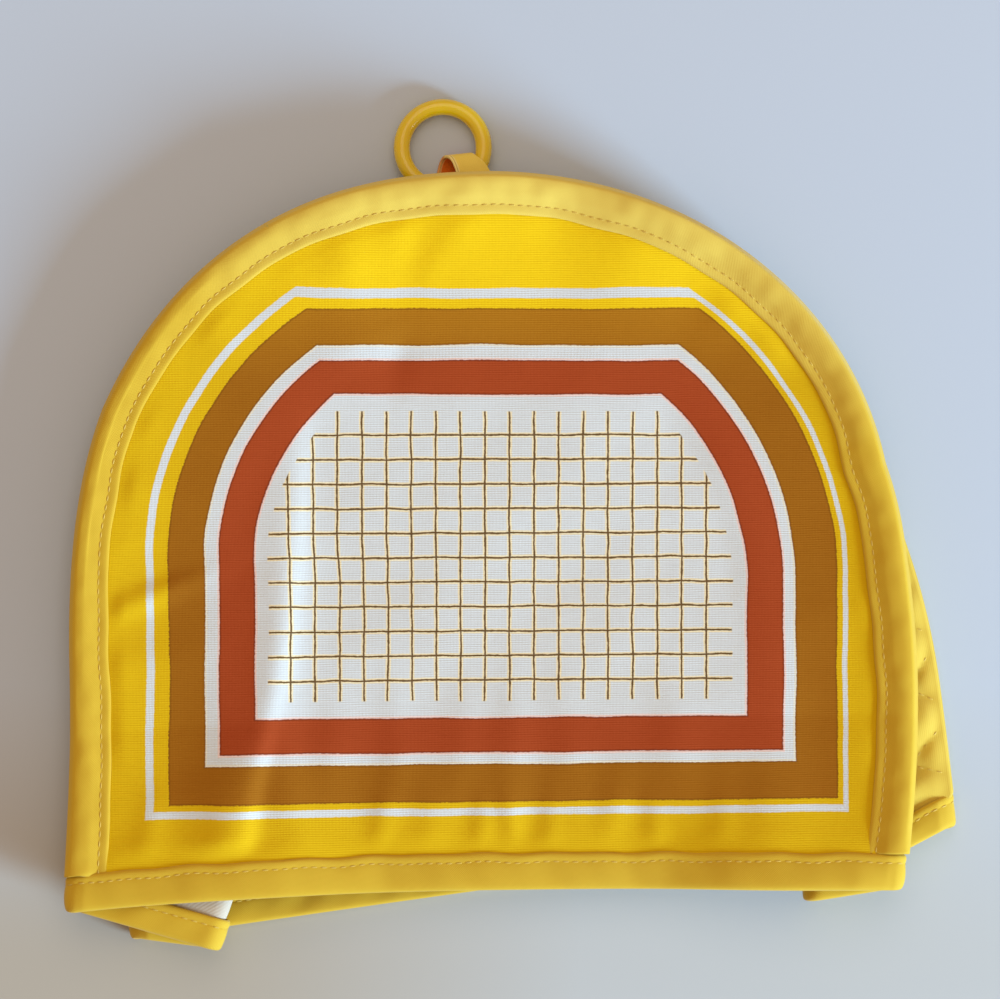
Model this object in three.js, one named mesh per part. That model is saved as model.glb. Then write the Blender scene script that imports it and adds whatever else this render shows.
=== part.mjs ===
// Toaster cover of printed cloth, lying collapsed on its back panel.
// Units are mm and +Z is up. The hem runs along the near side (-Y), the hanging
// ring is at the far side (+Y), and the printed front panel is on top.
// The side strip (gusset) is folded inwards all round between the two panels.
import * as THREE from 'three';

// Cloth and tape.
const CLOTH = 1.0;
const QUILT = 1.2;
const LINING = 1.0;
const TAPE = 1.0;
const CLEAR = 0.3;
const HEM_CLEAR = 0.35;

// Binding: width of the band on the arch, and both sides of the hem tape.
const BAND_WIDTH = 12.8;
const HEM_OUTSIDE = 11.4;
const HEM_OUTSIDE_FLAP = 9.8;
const HEM_INSIDE = 10.0;
const HEM_SHELF = 11.6;
const BAND_START = 11.8;
const BAND_MIDDLE = 6.5;
const BAND_ROUND = 0.6;
const BAND_STEP_IN = 1.2;
const HEM_ROUND = 0.3;

// Where the hem tape turns from one cloth to the next at a folded corner.
const HEM_TURN = { start: 0.4, reach: 1.5, room: 0.2 };

// How far each cloth stops short of its outline.
const CLOTH_INSET = 1.3;
const GUSSET_INSET = 0.2;
const CORNER_INSET = 5.2;
const CORNER_RUN = 12.0;

// One row per half of a panel's outline: distance from the peak to the side,
// height at which the arch springs, the two powers of the arch, and how much
// the straight side swells (and up to which height).
const PANEL_HALVES = {
  frontLeft: { reach: 138.2, spring: 75.3, across: 2.34, up: 2.17, swell: -4.0, swellTop: 160 },
  frontRight: { reach: 129.2, spring: 112.8, across: 1.99, up: 2.13, swell: 6.2, swellTop: 136 },
  backLeft: { reach: 130.0, spring: 57.3, across: 1.9, up: 2.74, swell: -3.5, swellTop: 160 },
  backRight: { reach: 138.0, spring: 45.0, across: 2.0, up: 2.2, swell: 0.6, swellTop: 90 },
};

// Where each panel lies: middle of its hem, turn in degrees, place and height
// of the peak, and how far the hem bows up between its corners.
const FRONT = {
  x: -4.6, y: -128.1, turn: 1.65, peak: 4.0, rise: 232.3, bow: 3.7, skew: 0.72,
  left: PANEL_HALVES.frontLeft, right: PANEL_HALVES.frontRight,
};
const BACK = {
  x: 14.2, y: -123.4, turn: 7.78, peak: -4.1, rise: 219.0, bow: 0.8, skew: 1.0,
  left: PANEL_HALVES.backLeft, right: PANEL_HALVES.backRight,
};

// Heights of the middle of each layer, along the arch and at the hem.
const LEVELS = {
  back: { edge: 1.85, inside: 0.5 },
  lowerGusset: { arch: 3.85, hem: 6.55 },
  upperGusset: { arch: 9.45, hem: 12.05 },
  front: { arch: 11.5, hem: 16.8 },
};
const RAMP_END = 55;
const FRONT_SAG = { depth: 1.0, y: 100, halfWidth: 80, halfHeight: 76 };
const CREASE_RAMP = 16;
const LIFT_LEFT = { flat: 56, end: 104 };
const LIFT_RIGHT = { flat: 38, end: 88 };

// Depth of the side strip, and how its inner fold strays at each hem corner.
const GUSSET_DEPTH = 79;
const FOLD_LEFT = [
  { run: 0, inward: -3.2, droop: 13.2 },
  { run: 16, inward: 2.8, droop: 11.8 },
  { run: 60, inward: 2.0, droop: 4.5 },
  { run: 105, inward: 0, droop: 0 },
];
const FOLD_RIGHT = [
  { run: 0, inward: -1.2, droop: 3.1 },
  { run: 30, inward: 0, droop: 2.4 },
  { run: 70, inward: 0, droop: 0 },
];

// Soft waves shared by the layers above the back panel: place, direction of the
// crest in degrees, length and width of the wave, and its height.
const WAVES = [
  { x: -128, y: 20, turn: 170, long: 46, wide: 26, high: 0.9 },
  { x: -104, y: 62, turn: 140, long: 40, wide: 24, high: 0.7 },
  { x: -62, y: 92, turn: 112, long: 40, wide: 24, high: 0.8 },
  { x: -14, y: 104, turn: 92, long: 44, wide: 26, high: 1.1 },
  { x: 60, y: 88, turn: 60, long: 40, wide: 26, high: 0.8 },
  { x: 112, y: 34, turn: 24, long: 42, wide: 26, high: 0.7 },
  { x: 132, y: -44, turn: 4, long: 40, wide: 24, high: 0.6 },
];
// Creases of the front panel alone.
const CREASES = [
  { x: -70, y: -72, turn: 88, long: 58, wide: 7, high: 1.1 },
  { x: -40, y: -112, turn: 80, long: 22, wide: 8, high: 0.7 },
  { x: 4, y: -110, turn: 96, long: 24, wide: 9, high: 0.8 },
  { x: 38, y: -112, turn: 84, long: 22, wide: 8, high: 0.6 },
  { x: -50, y: 60, turn: 96, long: 30, wide: 12, high: 0.7 },
  { x: 10, y: 20, turn: 70, long: 60, wide: 26, high: 0.6 },
];

// Hanging ring and the tape loop that holds it.
const RING = { x: -18.4, y: 113.1, z: 3.42, radius: 13.15, section: 2.6, tilt: -3.55 };
const TAB_CLOTH = 0.9;
const TAB = [
  { y: 94.4, z: 4.3, left: -14.5, right: -3.5, slope: 0.02 },
  { y: 97.6, z: 6.9, left: -14.0, right: -3.0, slope: 0.02 },
  { y: 100.6, z: 7.7, left: -13.8, right: -2.8, slope: 0.02 },
  { y: 104.2, z: 7.7, left: -13.9, right: -2.9, slope: 0.04 },
  { y: 107.5, z: 7.45, left: -15.4, right: -5.0, slope: 0.1 },
  { y: 109.8, z: 6.3, left: -16.5, right: -8.0, slope: 0.14 },
  { y: 110.6, z: 3.9, left: -17.0, right: -9.4, slope: 0.14 },
  { y: 109.8, z: 1.5, left: -17.4, right: -9.2, slope: 0.12 },
  { y: 107.5, z: 0.5, left: -18.2, right: -8.4, slope: 0.08 },
  { y: 104.2, z: 0.5, left: -19.7, right: -9.0, slope: 0.04 },
  { y: 100.2, z: 0.5, left: -19.4, right: -8.6, slope: 0.02 },
  { y: 97.2, z: 0.6, left: -18.0, right: -7.0, slope: 0.02 },
  { y: 94.4, z: 1.4, left: -17.0, right: -6.0, slope: 0.02 },
];

// Mesh density.
const OUTLINE_STEPS = 160;
const ARCH_ENDS = [BAND_START, 20, 30, 42, RAMP_END];
const ARCH_MIDDLE = 32;
const RING_SIDES = 10;
const RING_STEPS = 28;
const FRONT_HEM_STATIONS = 20;
const BACK_HEM_STATIONS = 12;
const FRONT_RINGS = [0.1, 0.2, 0.3, 0.42, 0.55, 0.7, 0.86, 1];
const BACK_RINGS = [0.09, 1];
const MIDDLE_SHARE = 0.45;
const TURN_STEPS = 3;
const TANGENT_REACH = 5;
const SMALLEST_AREA = 1e-6;

const COLOURS = {
  front: 0xe0b412,
  back: 0xdcae18,
  quilt: 0xdba81e,
  lining: 0xded2c0,
  tape: 0xd6ab28,
  tab: 0xcba23c,
  ring: 0xd0a01c,
};

function mix(a, b, share) {
  return a + (b - a) * share;
}

function clamp01(value) {
  return Math.min(Math.max(value, 0), 1);
}

function smooth(value) {
  const share = clamp01(value);
  return share * share * (3 - 2 * share);
}

// Reads one column of a table of rows ordered by run.
function readTable(rows, run, column) {
  const next = rows.findIndex((row) => row.run >= run);
  if (next === 0) {
    return rows[0][column];
  }
  if (next < 0) {
    return rows[rows.length - 1][column];
  }
  const before = rows[next - 1];
  const after = rows[next];
  return mix(before[column], after[column], (run - before.run) / (after.run - before.run));
}

// Height at a place in plan of a table of ridges.
function ridges(rows, x, y) {
  return rows.reduce((sum, row) => {
    const turn = THREE.MathUtils.degToRad(row.turn);
    const dx = x - row.x;
    const dy = y - row.y;
    const along = (dx * Math.cos(turn) + dy * Math.sin(turn)) / row.long;
    const across = (dy * Math.cos(turn) - dx * Math.sin(turn)) / row.wide;
    return sum + row.high * Math.exp(-along * along - across * across);
  }, 0);
}

// A thick sheet between two grids of points: grid[station][point across].
function sheetGeometry(outer, inner, loop) {
  const positions = [];
  const last = outer[0].length - 1;
  const triangle = (a, b, c) => {
    const area = b.clone().sub(a).cross(c.clone().sub(a)).length();
    if (area > SMALLEST_AREA) {
      positions.push(...a.toArray(), ...b.toArray(), ...c.toArray());
    }
  };
  const quad = (a, b, c, d) => {
    triangle(a, b, c);
    triangle(a, c, d);
  };
  const stations = loop ? outer.length : outer.length - 1;
  for (let i = 0; i < stations; i += 1) {
    const k = (i + 1) % outer.length;
    for (let j = 0; j < last; j += 1) {
      quad(outer[i][j], outer[k][j], outer[k][j + 1], outer[i][j + 1]);
      quad(inner[i][j], inner[i][j + 1], inner[k][j + 1], inner[k][j]);
    }
    quad(outer[i][0], inner[i][0], inner[k][0], outer[k][0]);
    quad(outer[i][last], outer[k][last], inner[k][last], inner[i][last]);
  }
  if (!loop) {
    const end = outer.length - 1;
    for (let j = 0; j < last; j += 1) {
      quad(outer[0][j], outer[0][j + 1], inner[0][j + 1], inner[0][j]);
      quad(outer[end][j], inner[end][j], inner[end][j + 1], outer[end][j + 1]);
    }
  }
  if (signedVolume(positions) < 0) {
    for (let k = 0; k < positions.length; k += 9) {
      const second = positions.slice(k + 3, k + 6);
      const third = positions.slice(k + 6, k + 9);
      positions.splice(k + 3, 6, ...third, ...second);
    }
  }
  const geometry = new THREE.BufferGeometry();
  geometry.setAttribute('position', new THREE.Float32BufferAttribute(positions, 3));
  return geometry;
}

function signedVolume(positions) {
  let volume = 0;
  for (let k = 0; k < positions.length; k += 9) {
    const a = new THREE.Vector3().fromArray(positions, k);
    const b = new THREE.Vector3().fromArray(positions, k + 3);
    const c = new THREE.Vector3().fromArray(positions, k + 6);
    volume += a.dot(b.cross(c)) / 6;
  }
  return volume;
}

// Unit normals of a grid of points, taken from its neighbours.
function gridNormals(grid) {
  return grid.map((row, i) => row.map((point, j) => {
    const before = grid[Math.max(i - 1, 0)][j];
    const after = grid[Math.min(i + 1, grid.length - 1)][j];
    const left = row[Math.max(j - 1, 0)];
    const right = row[Math.min(j + 1, row.length - 1)];
    const across = right.clone().sub(left).normalize();
    return across.cross(after.clone().sub(before).normalize()).normalize();
  }));
}

function offsetGrid(grid, normals, distance) {
  return grid.map((row, i) => row.map((point, j) => (
    point.clone().addScaledVector(normals[i][j], distance)
  )));
}

// Plan directions and places of a panel's own frame.
function panelAxes(panel) {
  const turn = THREE.MathUtils.degToRad(panel.turn);
  return {
    across: new THREE.Vector2(Math.cos(turn), Math.sin(turn)),
    up: new THREE.Vector2(-Math.sin(turn), Math.cos(turn)),
  };
}

function placeOn(panel, x, y) {
  const { across, up } = panelAxes(panel);
  return new THREE.Vector2(panel.x, panel.y).addScaledVector(across, x).addScaledVector(up, y);
}

function readFrom(panel, x, y) {
  const { across, up } = panelAxes(panel);
  const offset = new THREE.Vector2(x - panel.x, y - panel.y);
  return new THREE.Vector2(offset.dot(across), offset.dot(up));
}

function hemLeft(panel) {
  return panel.peak - panel.left.reach;
}

function hemRight(panel) {
  return panel.peak + panel.right.reach;
}

function hemBow(panel, x) {
  const share = clamp01((x - hemLeft(panel)) / (hemRight(panel) - hemLeft(panel)));
  return panel.bow * Math.sin(Math.PI * share ** panel.skew);
}

// Half of the outline, from the hem corner to the peak.
function halfOutline(panel, half, side) {
  const reachAt = (y) => half.reach + half.swell * Math.sin(Math.PI * clamp01(y / half.swellTop));
  const points = [];
  for (let k = 0; k < OUTLINE_STEPS; k += 1) {
    const y = half.spring * (k / OUTLINE_STEPS);
    points.push(placeOn(panel, panel.peak + side * reachAt(y), y));
  }
  for (let k = 0; k <= OUTLINE_STEPS; k += 1) {
    const angle = (Math.PI / 2) * (k / OUTLINE_STEPS);
    const y = half.spring + (panel.rise - half.spring) * Math.sin(angle) ** (2 / half.up);
    const x = reachAt(y) * Math.max(Math.cos(angle), 0) ** (2 / half.across);
    points.push(placeOn(panel, panel.peak + side * x, y));
  }
  return points;
}

// The arch of a panel from its left hem corner to its right one.
function archOf(panel) {
  const left = halfOutline(panel, panel.left, -1);
  const right = halfOutline(panel, panel.right, 1).reverse();
  const points = [...left, ...right.slice(1)];
  const runs = [0];
  points.slice(1).forEach((point, k) => runs.push(runs[k] + point.distanceTo(points[k])));
  const length = runs[runs.length - 1];
  const at = (run) => {
    const wanted = Math.min(Math.max(run, 0), length);
    const next = Math.max(runs.findIndex((value) => value >= wanted), 1);
    const share = (wanted - runs[next - 1]) / (runs[next] - runs[next - 1]);
    return points[next - 1].clone().lerp(points[next], share);
  };
  const inward = (run) => {
    const tangent = at(run + TANGENT_REACH).sub(at(run - TANGENT_REACH)).normalize();
    const normal = new THREE.Vector2(tangent.y, -tangent.x);
    const { across } = panelAxes(panel);
    const toEnd = Math.min(run, length - run);
    const square = across.clone().multiplyScalar(run < length / 2 ? 1 : -1);
    return square.lerp(normal, smooth(toEnd / RAMP_END)).normalize();
  };
  return { length, at, inward };
}

// A place beside a hem corner, on a line along the leaning side.
function cornerSpot(panel, arch, atRight, inset, height) {
  const run = atRight ? arch.length - BAND_START : BAND_START;
  const foot = atRight ? hemRight(panel) - inset : hemLeft(panel) + inset;
  const spot = marginSpot(panel, arch, run, inset);
  const top = readFrom(panel, spot.x, spot.y);
  const x = mix(foot, top.x, height / BAND_START);
  return placeOn(panel, x, hemBow(panel, x) + height);
}

// Across a panel's hem, from its left corner to its right one.
function hemStationX(panel, share) {
  return mix(hemLeft(panel) + CORNER_INSET, hemRight(panel) - CORNER_INSET, share);
}

// Stations along an arch: set runs near both hem corners, even ones between.
function archRuns(length) {
  const runs = [...ARCH_ENDS];
  for (let k = 1; k < ARCH_MIDDLE; k += 1) {
    runs.push(mix(RAMP_END, length - RAMP_END, k / ARCH_MIDDLE));
  }
  return [...runs, ...ARCH_ENDS.map((run) => length - run).reverse()];
}

function edgeInset(toEnd, inset) {
  return toEnd <= CORNER_RUN ? CORNER_INSET : inset;
}

// A place on a panel's margin; beside the hem it keeps parallel to the tape.
function marginSpot(panel, arch, run, inset) {
  const toEnd = Math.min(run, arch.length - run);
  const place = arch.at(run).addScaledVector(arch.inward(run), inset);
  if (toEnd > CORNER_RUN) {
    return place;
  }
  const { x } = readFrom(panel, place.x, place.y);
  return placeOn(panel, x, hemBow(panel, x) + toEnd);
}

// Share of the hem's extra height at a distance from the hem.
function rampShare(distance) {
  return clamp01((RAMP_END - distance) / (RAMP_END - HEM_SHELF));
}

function sharedWave(x, y) {
  const place = readFrom(FRONT, x, y);
  return ridges(WAVES, x, y) * smooth((place.y - HEM_SHELF) / RAMP_END);
}

// Middle height of the front panel at a place in plan.
function frontHeight(x, y) {
  const place = readFrom(FRONT, x, y);
  const fromHem = place.y - hemBow(FRONT, place.x);
  const fromLeft = place.x - hemLeft(FRONT);
  const fromRight = hemRight(FRONT) - place.x;
  const left = 1 - smooth((fromLeft - LIFT_LEFT.flat) / (LIFT_LEFT.end - LIFT_LEFT.flat));
  const right = 1 - smooth((fromRight - LIFT_RIGHT.flat) / (LIFT_RIGHT.end - LIFT_RIGHT.flat));
  const corner = (LEVELS.front.hem - LEVELS.front.arch) * Math.max(left, right);
  const bump = (value) => Math.max(1 - value * value, 0) ** 2;
  const { depth, y: sagY, halfWidth, halfHeight } = FRONT_SAG;
  const sag = depth * bump(place.x / halfWidth) * bump((place.y - sagY) / halfHeight);
  const crease = ridges(CREASES, x, y) * smooth((fromHem - HEM_SHELF) / CREASE_RAMP);
  return LEVELS.front.arch + corner * rampShare(fromHem) + sharedWave(x, y) + crease - sag;
}

// Middle height of the back panel: raised over its binding, down elsewhere.
function backHeight(ring) {
  return ring <= 2 ? LEVELS.back.edge : LEVELS.back.inside;
}

// Rings of plan points of a panel, from the cut edge to its middle.
function panelRings(panel, hemStations, shares) {
  const arch = archOf(panel);
  const runs = archRuns(arch.length);
  const exact = [
    { side: CLOTH_INSET, corner: CORNER_INSET, hem: CLOTH_INSET },
    { side: BAND_MIDDLE, corner: BAND_MIDDLE, hem: BAND_MIDDLE },
    { side: BAND_WIDTH, corner: BAND_WIDTH, hem: HEM_SHELF },
  ];
  const rings = exact.map((row) => {
    const points = runs.map((run) => {
      const toEnd = Math.min(run, arch.length - run);
      const inset = Math.max(row.side, row === exact[0] ? edgeInset(toEnd, CLOTH_INSET) : 0);
      return marginSpot(panel, arch, run, inset);
    });
    points.push(cornerSpot(panel, arch, true, row.corner, row.hem));
    for (let k = 1; k < hemStations; k += 1) {
      const x = hemStationX(panel, 1 - k / hemStations);
      points.push(placeOn(panel, x, hemBow(panel, x) + row.hem));
    }
    points.push(cornerSpot(panel, arch, false, row.corner, row.hem));
    return points;
  });
  const middle = placeOn(panel, 0, panel.rise * MIDDLE_SHARE);
  const outermost = rings[rings.length - 1];
  shares.forEach((share) => rings.push(outermost.map((point) => point.clone().lerp(middle, share))));
  return rings;
}

// A panel from its rings, its middle height given by a function of plan and ring.
function panelGeometry(rings, heightAt) {
  const grid = rings[0].map((unused, station) => rings.map((ring, index) => {
    const place = ring[station];
    return new THREE.Vector3(place.x, place.y, heightAt(place.x, place.y, index));
  }));
  const shifted = (distance) => grid.map((row) => row.map((point) => (
    point.clone().add(new THREE.Vector3(0, 0, distance))
  )));
  return sheetGeometry(shifted(CLOTH / 2), shifted(-CLOTH / 2), true);
}

// Band on the margin of a panel, with a lip round the panel's edge.
// The side is +1 for a band on top of the panel and -1 for one beneath it.
function bandGeometry(panel, heightAt, side) {
  const arch = archOf(panel);
  const near = CLOTH / 2 + CLEAR;
  const far = near + TAPE;
  const sections = archRuns(arch.length).map((run) => {
    const spot = (inset, lift) => {
      const place = marginSpot(panel, arch, run, inset);
      return new THREE.Vector3(place.x, place.y, heightAt(place.x, place.y) + side * lift);
    };
    return {
      outer: [
        spot(0, -CLOTH / 2),
        spot(0, far - BAND_ROUND),
        spot(BAND_ROUND, far),
        spot(BAND_MIDDLE, far),
        spot(BAND_WIDTH, far),
      ],
      inner: [
        spot(TAPE, -CLOTH / 2),
        spot(TAPE, near),
        spot(BAND_STEP_IN, near),
        spot(BAND_MIDDLE, near),
        spot(BAND_WIDTH, near),
      ],
    };
  });
  return sheetGeometry(sections.map((row) => row.outer), sections.map((row) => row.inner), false);
}

// Points of a half turn between two level runs, ends left out.
function turnPoints(from, fromWay, to, toWay) {
  const reach = (4 / 3) * (Math.abs(from.z - to.z) / 2);
  const curve = new THREE.CubicBezierCurve3(
    from,
    from.clone().addScaledVector(fromWay, reach),
    to.clone().addScaledVector(toWay, -reach),
    to,
  );
  return Array.from({ length: TURN_STEPS }, (unused, k) => (
    curve.getPoint((k + 1) / (TURN_STEPS + 1))
  ));
}

// Middle surface of the folded side strip: one row per station along the arch,
// from the front panel's edge in to the fold and back out to the back panel.
function gussetMiddle() {
  const front = archOf(FRONT);
  const back = archOf(BACK);
  const withEnds = (arch) => [CLOTH_INSET, ...archRuns(arch.length), arch.length - CLOTH_INSET];
  const frontRuns = withEnds(front);
  const backRuns = withEnds(back);
  const { up } = panelAxes(FRONT);
  return frontRuns.map((run, k) => {
    const toEnd = Math.min(run, front.length - run);
    const stray = run < front.length / 2 ? FOLD_LEFT : FOLD_RIGHT;
    const frontEdge = front.at(run);
    const frontWay = front.inward(run);
    const backEdge = back.at(backRuns[k]);
    const backWay = back.inward(backRuns[k]);
    const apart = backEdge.clone().sub(frontEdge).dot(frontWay);
    const first = (GUSSET_DEPTH + apart) / 2 + readTable(stray, toEnd, 'inward');
    const fold = frontEdge.clone().addScaledVector(frontWay, first);
    fold.addScaledVector(up, -readTable(stray, toEnd, 'droop'));
    const share = rampShare(toEnd);
    const high = mix(LEVELS.upperGusset.arch, LEVELS.upperGusset.hem, share);
    const low = mix(LEVELS.lowerGusset.arch, LEVELS.lowerGusset.hem, share);
    const radius = (high - low) / 2;
    const inset = edgeInset(toEnd, GUSSET_INSET);
    const start = frontEdge.clone().addScaledVector(frontWay, inset);
    const end = backEdge.clone().addScaledVector(backWay, inset);
    const inWay = fold.clone().sub(start).normalize();
    const outWay = end.clone().sub(fold).normalize();
    const turnIn = fold.clone().addScaledVector(inWay, -radius);
    const turnOut = fold.clone().addScaledVector(outWay, radius);
    const flat = (place, z) => new THREE.Vector3(place.x, place.y, z);
    const row = [
      flat(start, high),
      flat(start.clone().lerp(turnIn, 0.5), high),
      flat(turnIn, high),
      ...turnPoints(flat(turnIn, high), flat(inWay, 0), flat(turnOut, low), flat(outWay, 0)),
      flat(turnOut, low),
      flat(turnOut.clone().lerp(end, 0.5), low),
      flat(end, low),
    ];
    row.forEach((point) => {
      point.z += sharedWave(point.x, point.y);
    });
    return row;
  });
}

// Cloth edge along the hem of a panel, left to right.
function hemEdge(panel, heightAt, stations) {
  const arch = archOf(panel);
  const { up } = panelAxes(panel);
  return Array.from({ length: stations + 1 }, (unused, k) => {
    const x = hemStationX(panel, k / stations);
    let place = placeOn(panel, x, hemBow(panel, x) + CLOTH_INSET);
    let into = up;
    if (k === 0 || k === stations) {
      const atRight = k > 0;
      place = cornerSpot(panel, arch, atRight, CORNER_INSET, CLOTH_INSET);
      into = cornerSpot(panel, arch, atRight, CORNER_INSET, HEM_SHELF).sub(place).normalize();
    }
    const point = new THREE.Vector3(place.x, place.y, heightAt(place.x, place.y));
    return { point, into: new THREE.Vector3(into.x, into.y, 0) };
  });
}

function gussetEdge(row, next) {
  return row.map((point, j) => ({ point, into: next[j].clone().sub(point).normalize() }));
}

// Hem tape: one loop round the whole mouth, folded over the edge of the cloth.
function hemGeometry(middle) {
  const last = middle.length - 1;
  const panelRoom = CLOTH / 2 + HEM_CLEAR;
  const gussetRoom = (QUILT + CLEAR + LINING) / 2 + HEM_CLEAR;
  const lengths = [
    {
      edge: hemEdge(FRONT, frontHeight, FRONT_HEM_STATIONS),
      room: panelRoom,
      outside: HEM_OUTSIDE,
    },
    {
      edge: gussetEdge(middle[last], middle[last - 1]),
      room: gussetRoom,
      outside: HEM_OUTSIDE_FLAP,
    },
    {
      edge: hemEdge(BACK, () => LEVELS.back.edge, BACK_HEM_STATIONS).reverse(),
      room: panelRoom,
      outside: HEM_OUTSIDE,
    },
    {
      edge: gussetEdge(middle[0], middle[1]).reverse(),
      room: gussetRoom,
      outside: HEM_OUTSIDE_FLAP,
    },
  ];
  lengths.forEach((length) => {
    const { edge, room, outside } = length;
    const end = edge.length - 1;
    const startWay = edge[1].point.clone().sub(edge[0].point).setZ(0).normalize();
    const endWay = edge[end].point.clone().sub(edge[end - 1].point).setZ(0).normalize();
    const reach = (entry, way, distance, space) => ({
      point: entry.point.clone().addScaledVector(way, distance),
      into: entry.into,
      room: space,
      outside,
    });
    length.startWay = startWay;
    length.endWay = endWay;
    length.stations = [
      reach(edge[0], startWay, -HEM_TURN.reach, HEM_TURN.room),
      reach(edge[0], startWay, -HEM_TURN.start, room),
      ...edge.map((entry) => ({ ...entry, room, outside })),
      reach(edge[end], endWay, HEM_TURN.start, room),
      reach(edge[end], endWay, HEM_TURN.reach, HEM_TURN.room),
    ];
  });
  const path = [];
  lengths.forEach((length, k) => {
    const next = lengths[(k + 1) % lengths.length];
    const from = length.stations[length.stations.length - 1];
    const to = next.stations[0];
    path.push(...length.stations);
    turnPoints(from.point, length.endWay, to.point, next.startWay).forEach((point, step) => {
      const share = (step + 1) / (TURN_STEPS + 1);
      path.push({
        point,
        into: from.into.clone().lerp(to.into, share).normalize(),
        room: HEM_TURN.room,
        outside: mix(length.outside, next.outside, share),
      });
    });
  });
  const sections = path.map((entry, k) => {
    const before = path[(k + path.length - 1) % path.length].point;
    const after = path[(k + 1) % path.length].point;
    const normal = after.clone().sub(before).cross(entry.into).normalize();
    const spot = (depth, side) => entry.point.clone()
      .addScaledVector(entry.into, depth - CLOTH_INSET)
      .addScaledVector(normal, side);
    const near = entry.room;
    const far = near + TAPE;
    return {
      outer: [
        spot(entry.outside, far),
        spot(0, far - HEM_ROUND),
        spot(0, HEM_ROUND - far),
        spot(HEM_INSIDE, -far),
      ],
      inner: [
        spot(entry.outside, near),
        spot(TAPE, near),
        spot(TAPE, -near),
        spot(HEM_INSIDE, -near),
      ],
    };
  });
  return sheetGeometry(sections.map((row) => row.outer), sections.map((row) => row.inner), true);
}

function tabGeometry() {
  const grid = TAB.map((row) => [row.left, row.right].map((x) => {
    const middle = (row.left + row.right) / 2;
    return new THREE.Vector3(x, row.y + row.slope * (x - middle), row.z);
  }));
  const normals = gridNormals(grid);
  const half = TAB_CLOTH / 2;
  return sheetGeometry(offsetGrid(grid, normals, half), offsetGrid(grid, normals, -half), false);
}

function ringGeometry() {
  const geometry = new THREE.TorusGeometry(RING.radius, RING.section, RING_SIDES, RING_STEPS);
  geometry.rotateX(THREE.MathUtils.degToRad(RING.tilt));
  geometry.translate(RING.x, RING.y, RING.z);
  return geometry;
}

function buildCover() {
  const cover = new THREE.Group();
  cover.name = 'toaster_cover';
  const add = (name, geometry, color, roughness) => {
    const material = new THREE.MeshStandardMaterial({ color, roughness, metalness: 0 });
    const mesh = new THREE.Mesh(geometry, material);
    mesh.name = name;
    cover.add(mesh);
  };
  const middle = gussetMiddle();
  const normals = gridNormals(middle);
  const halfStack = (QUILT + CLEAR + LINING) / 2;
  const layer = (from, to) => (
    sheetGeometry(offsetGrid(middle, normals, to), offsetGrid(middle, normals, from), false)
  );
  const frontRings = panelRings(FRONT, FRONT_HEM_STATIONS, FRONT_RINGS);
  const backRings = panelRings(BACK, BACK_HEM_STATIONS, BACK_RINGS);
  add('front_panel', panelGeometry(frontRings, frontHeight), COLOURS.front, 0.8);
  add('back_panel', panelGeometry(backRings, (x, y, ring) => backHeight(ring)), COLOURS.back, 0.8);
  add('gusset', layer(-halfStack, QUILT - halfStack), COLOURS.quilt, 0.8);
  add('gusset_lining', layer(halfStack - LINING, halfStack), COLOURS.lining, 0.9);
  add('front_binding', bandGeometry(FRONT, frontHeight, 1), COLOURS.tape, 0.75);
  add('back_binding', bandGeometry(BACK, () => LEVELS.back.edge, -1), COLOURS.tape, 0.75);
  add('hem_binding', hemGeometry(middle), COLOURS.tape, 0.75);
  add('hang_tab', tabGeometry(), COLOURS.tab, 0.75);
  add('hang_ring', ringGeometry(), COLOURS.ring, 0.2);
  const box = new THREE.Box3().setFromObject(cover);
  const centre = box.getCenter(new THREE.Vector3());
  cover.children.forEach((mesh) => mesh.geometry.translate(-centre.x, -centre.y, -box.min.z));
  return cover;
}

export default buildCover();
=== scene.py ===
"""Toaster cover of printed cloth, lying collapsed on its back panel.

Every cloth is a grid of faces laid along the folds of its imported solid, in
millimetres in plan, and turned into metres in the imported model's own frame.
"""

import math
from functools import partial

import bmesh
import bpy
import numpy as np
from bpy.props import FloatProperty, FloatVectorProperty, IntProperty, PointerProperty
from mathutils import Matrix, Vector


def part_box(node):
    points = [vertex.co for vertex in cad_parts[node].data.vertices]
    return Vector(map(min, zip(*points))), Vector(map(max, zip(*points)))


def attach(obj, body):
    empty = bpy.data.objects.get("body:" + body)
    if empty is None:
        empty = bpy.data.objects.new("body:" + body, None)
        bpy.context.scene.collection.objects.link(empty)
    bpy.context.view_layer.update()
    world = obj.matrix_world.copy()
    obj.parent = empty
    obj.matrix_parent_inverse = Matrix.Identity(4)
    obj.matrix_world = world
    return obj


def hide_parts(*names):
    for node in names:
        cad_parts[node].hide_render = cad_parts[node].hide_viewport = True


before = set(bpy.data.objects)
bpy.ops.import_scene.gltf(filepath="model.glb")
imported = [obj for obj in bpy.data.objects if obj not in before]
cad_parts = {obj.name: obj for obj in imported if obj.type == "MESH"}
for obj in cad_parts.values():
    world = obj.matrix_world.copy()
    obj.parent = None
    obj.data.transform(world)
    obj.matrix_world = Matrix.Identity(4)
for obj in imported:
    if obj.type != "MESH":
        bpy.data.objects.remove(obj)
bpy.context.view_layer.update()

bl_info = {
    "name": "Toaster cover",
    "version": (1, 0, 0),
    "blender": (4, 5, 0),
    "location": "View3D > Sidebar > Toaster cover",
    "description": "Builds a printed toaster cover, its binding, ring and stage",
    "category": "Add Mesh",
}

MM = 0.001


def table(columns, *rows):
    """Rows of values under one line of column names."""
    return tuple(dict(zip(columns.split(), row)) for row in rows)


def named(columns, **rows):
    """A table whose rows have names."""
    return dict(zip(rows, table(columns, *rows.values())))


# ------------------------------------------------- measures in mm and degrees

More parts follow.
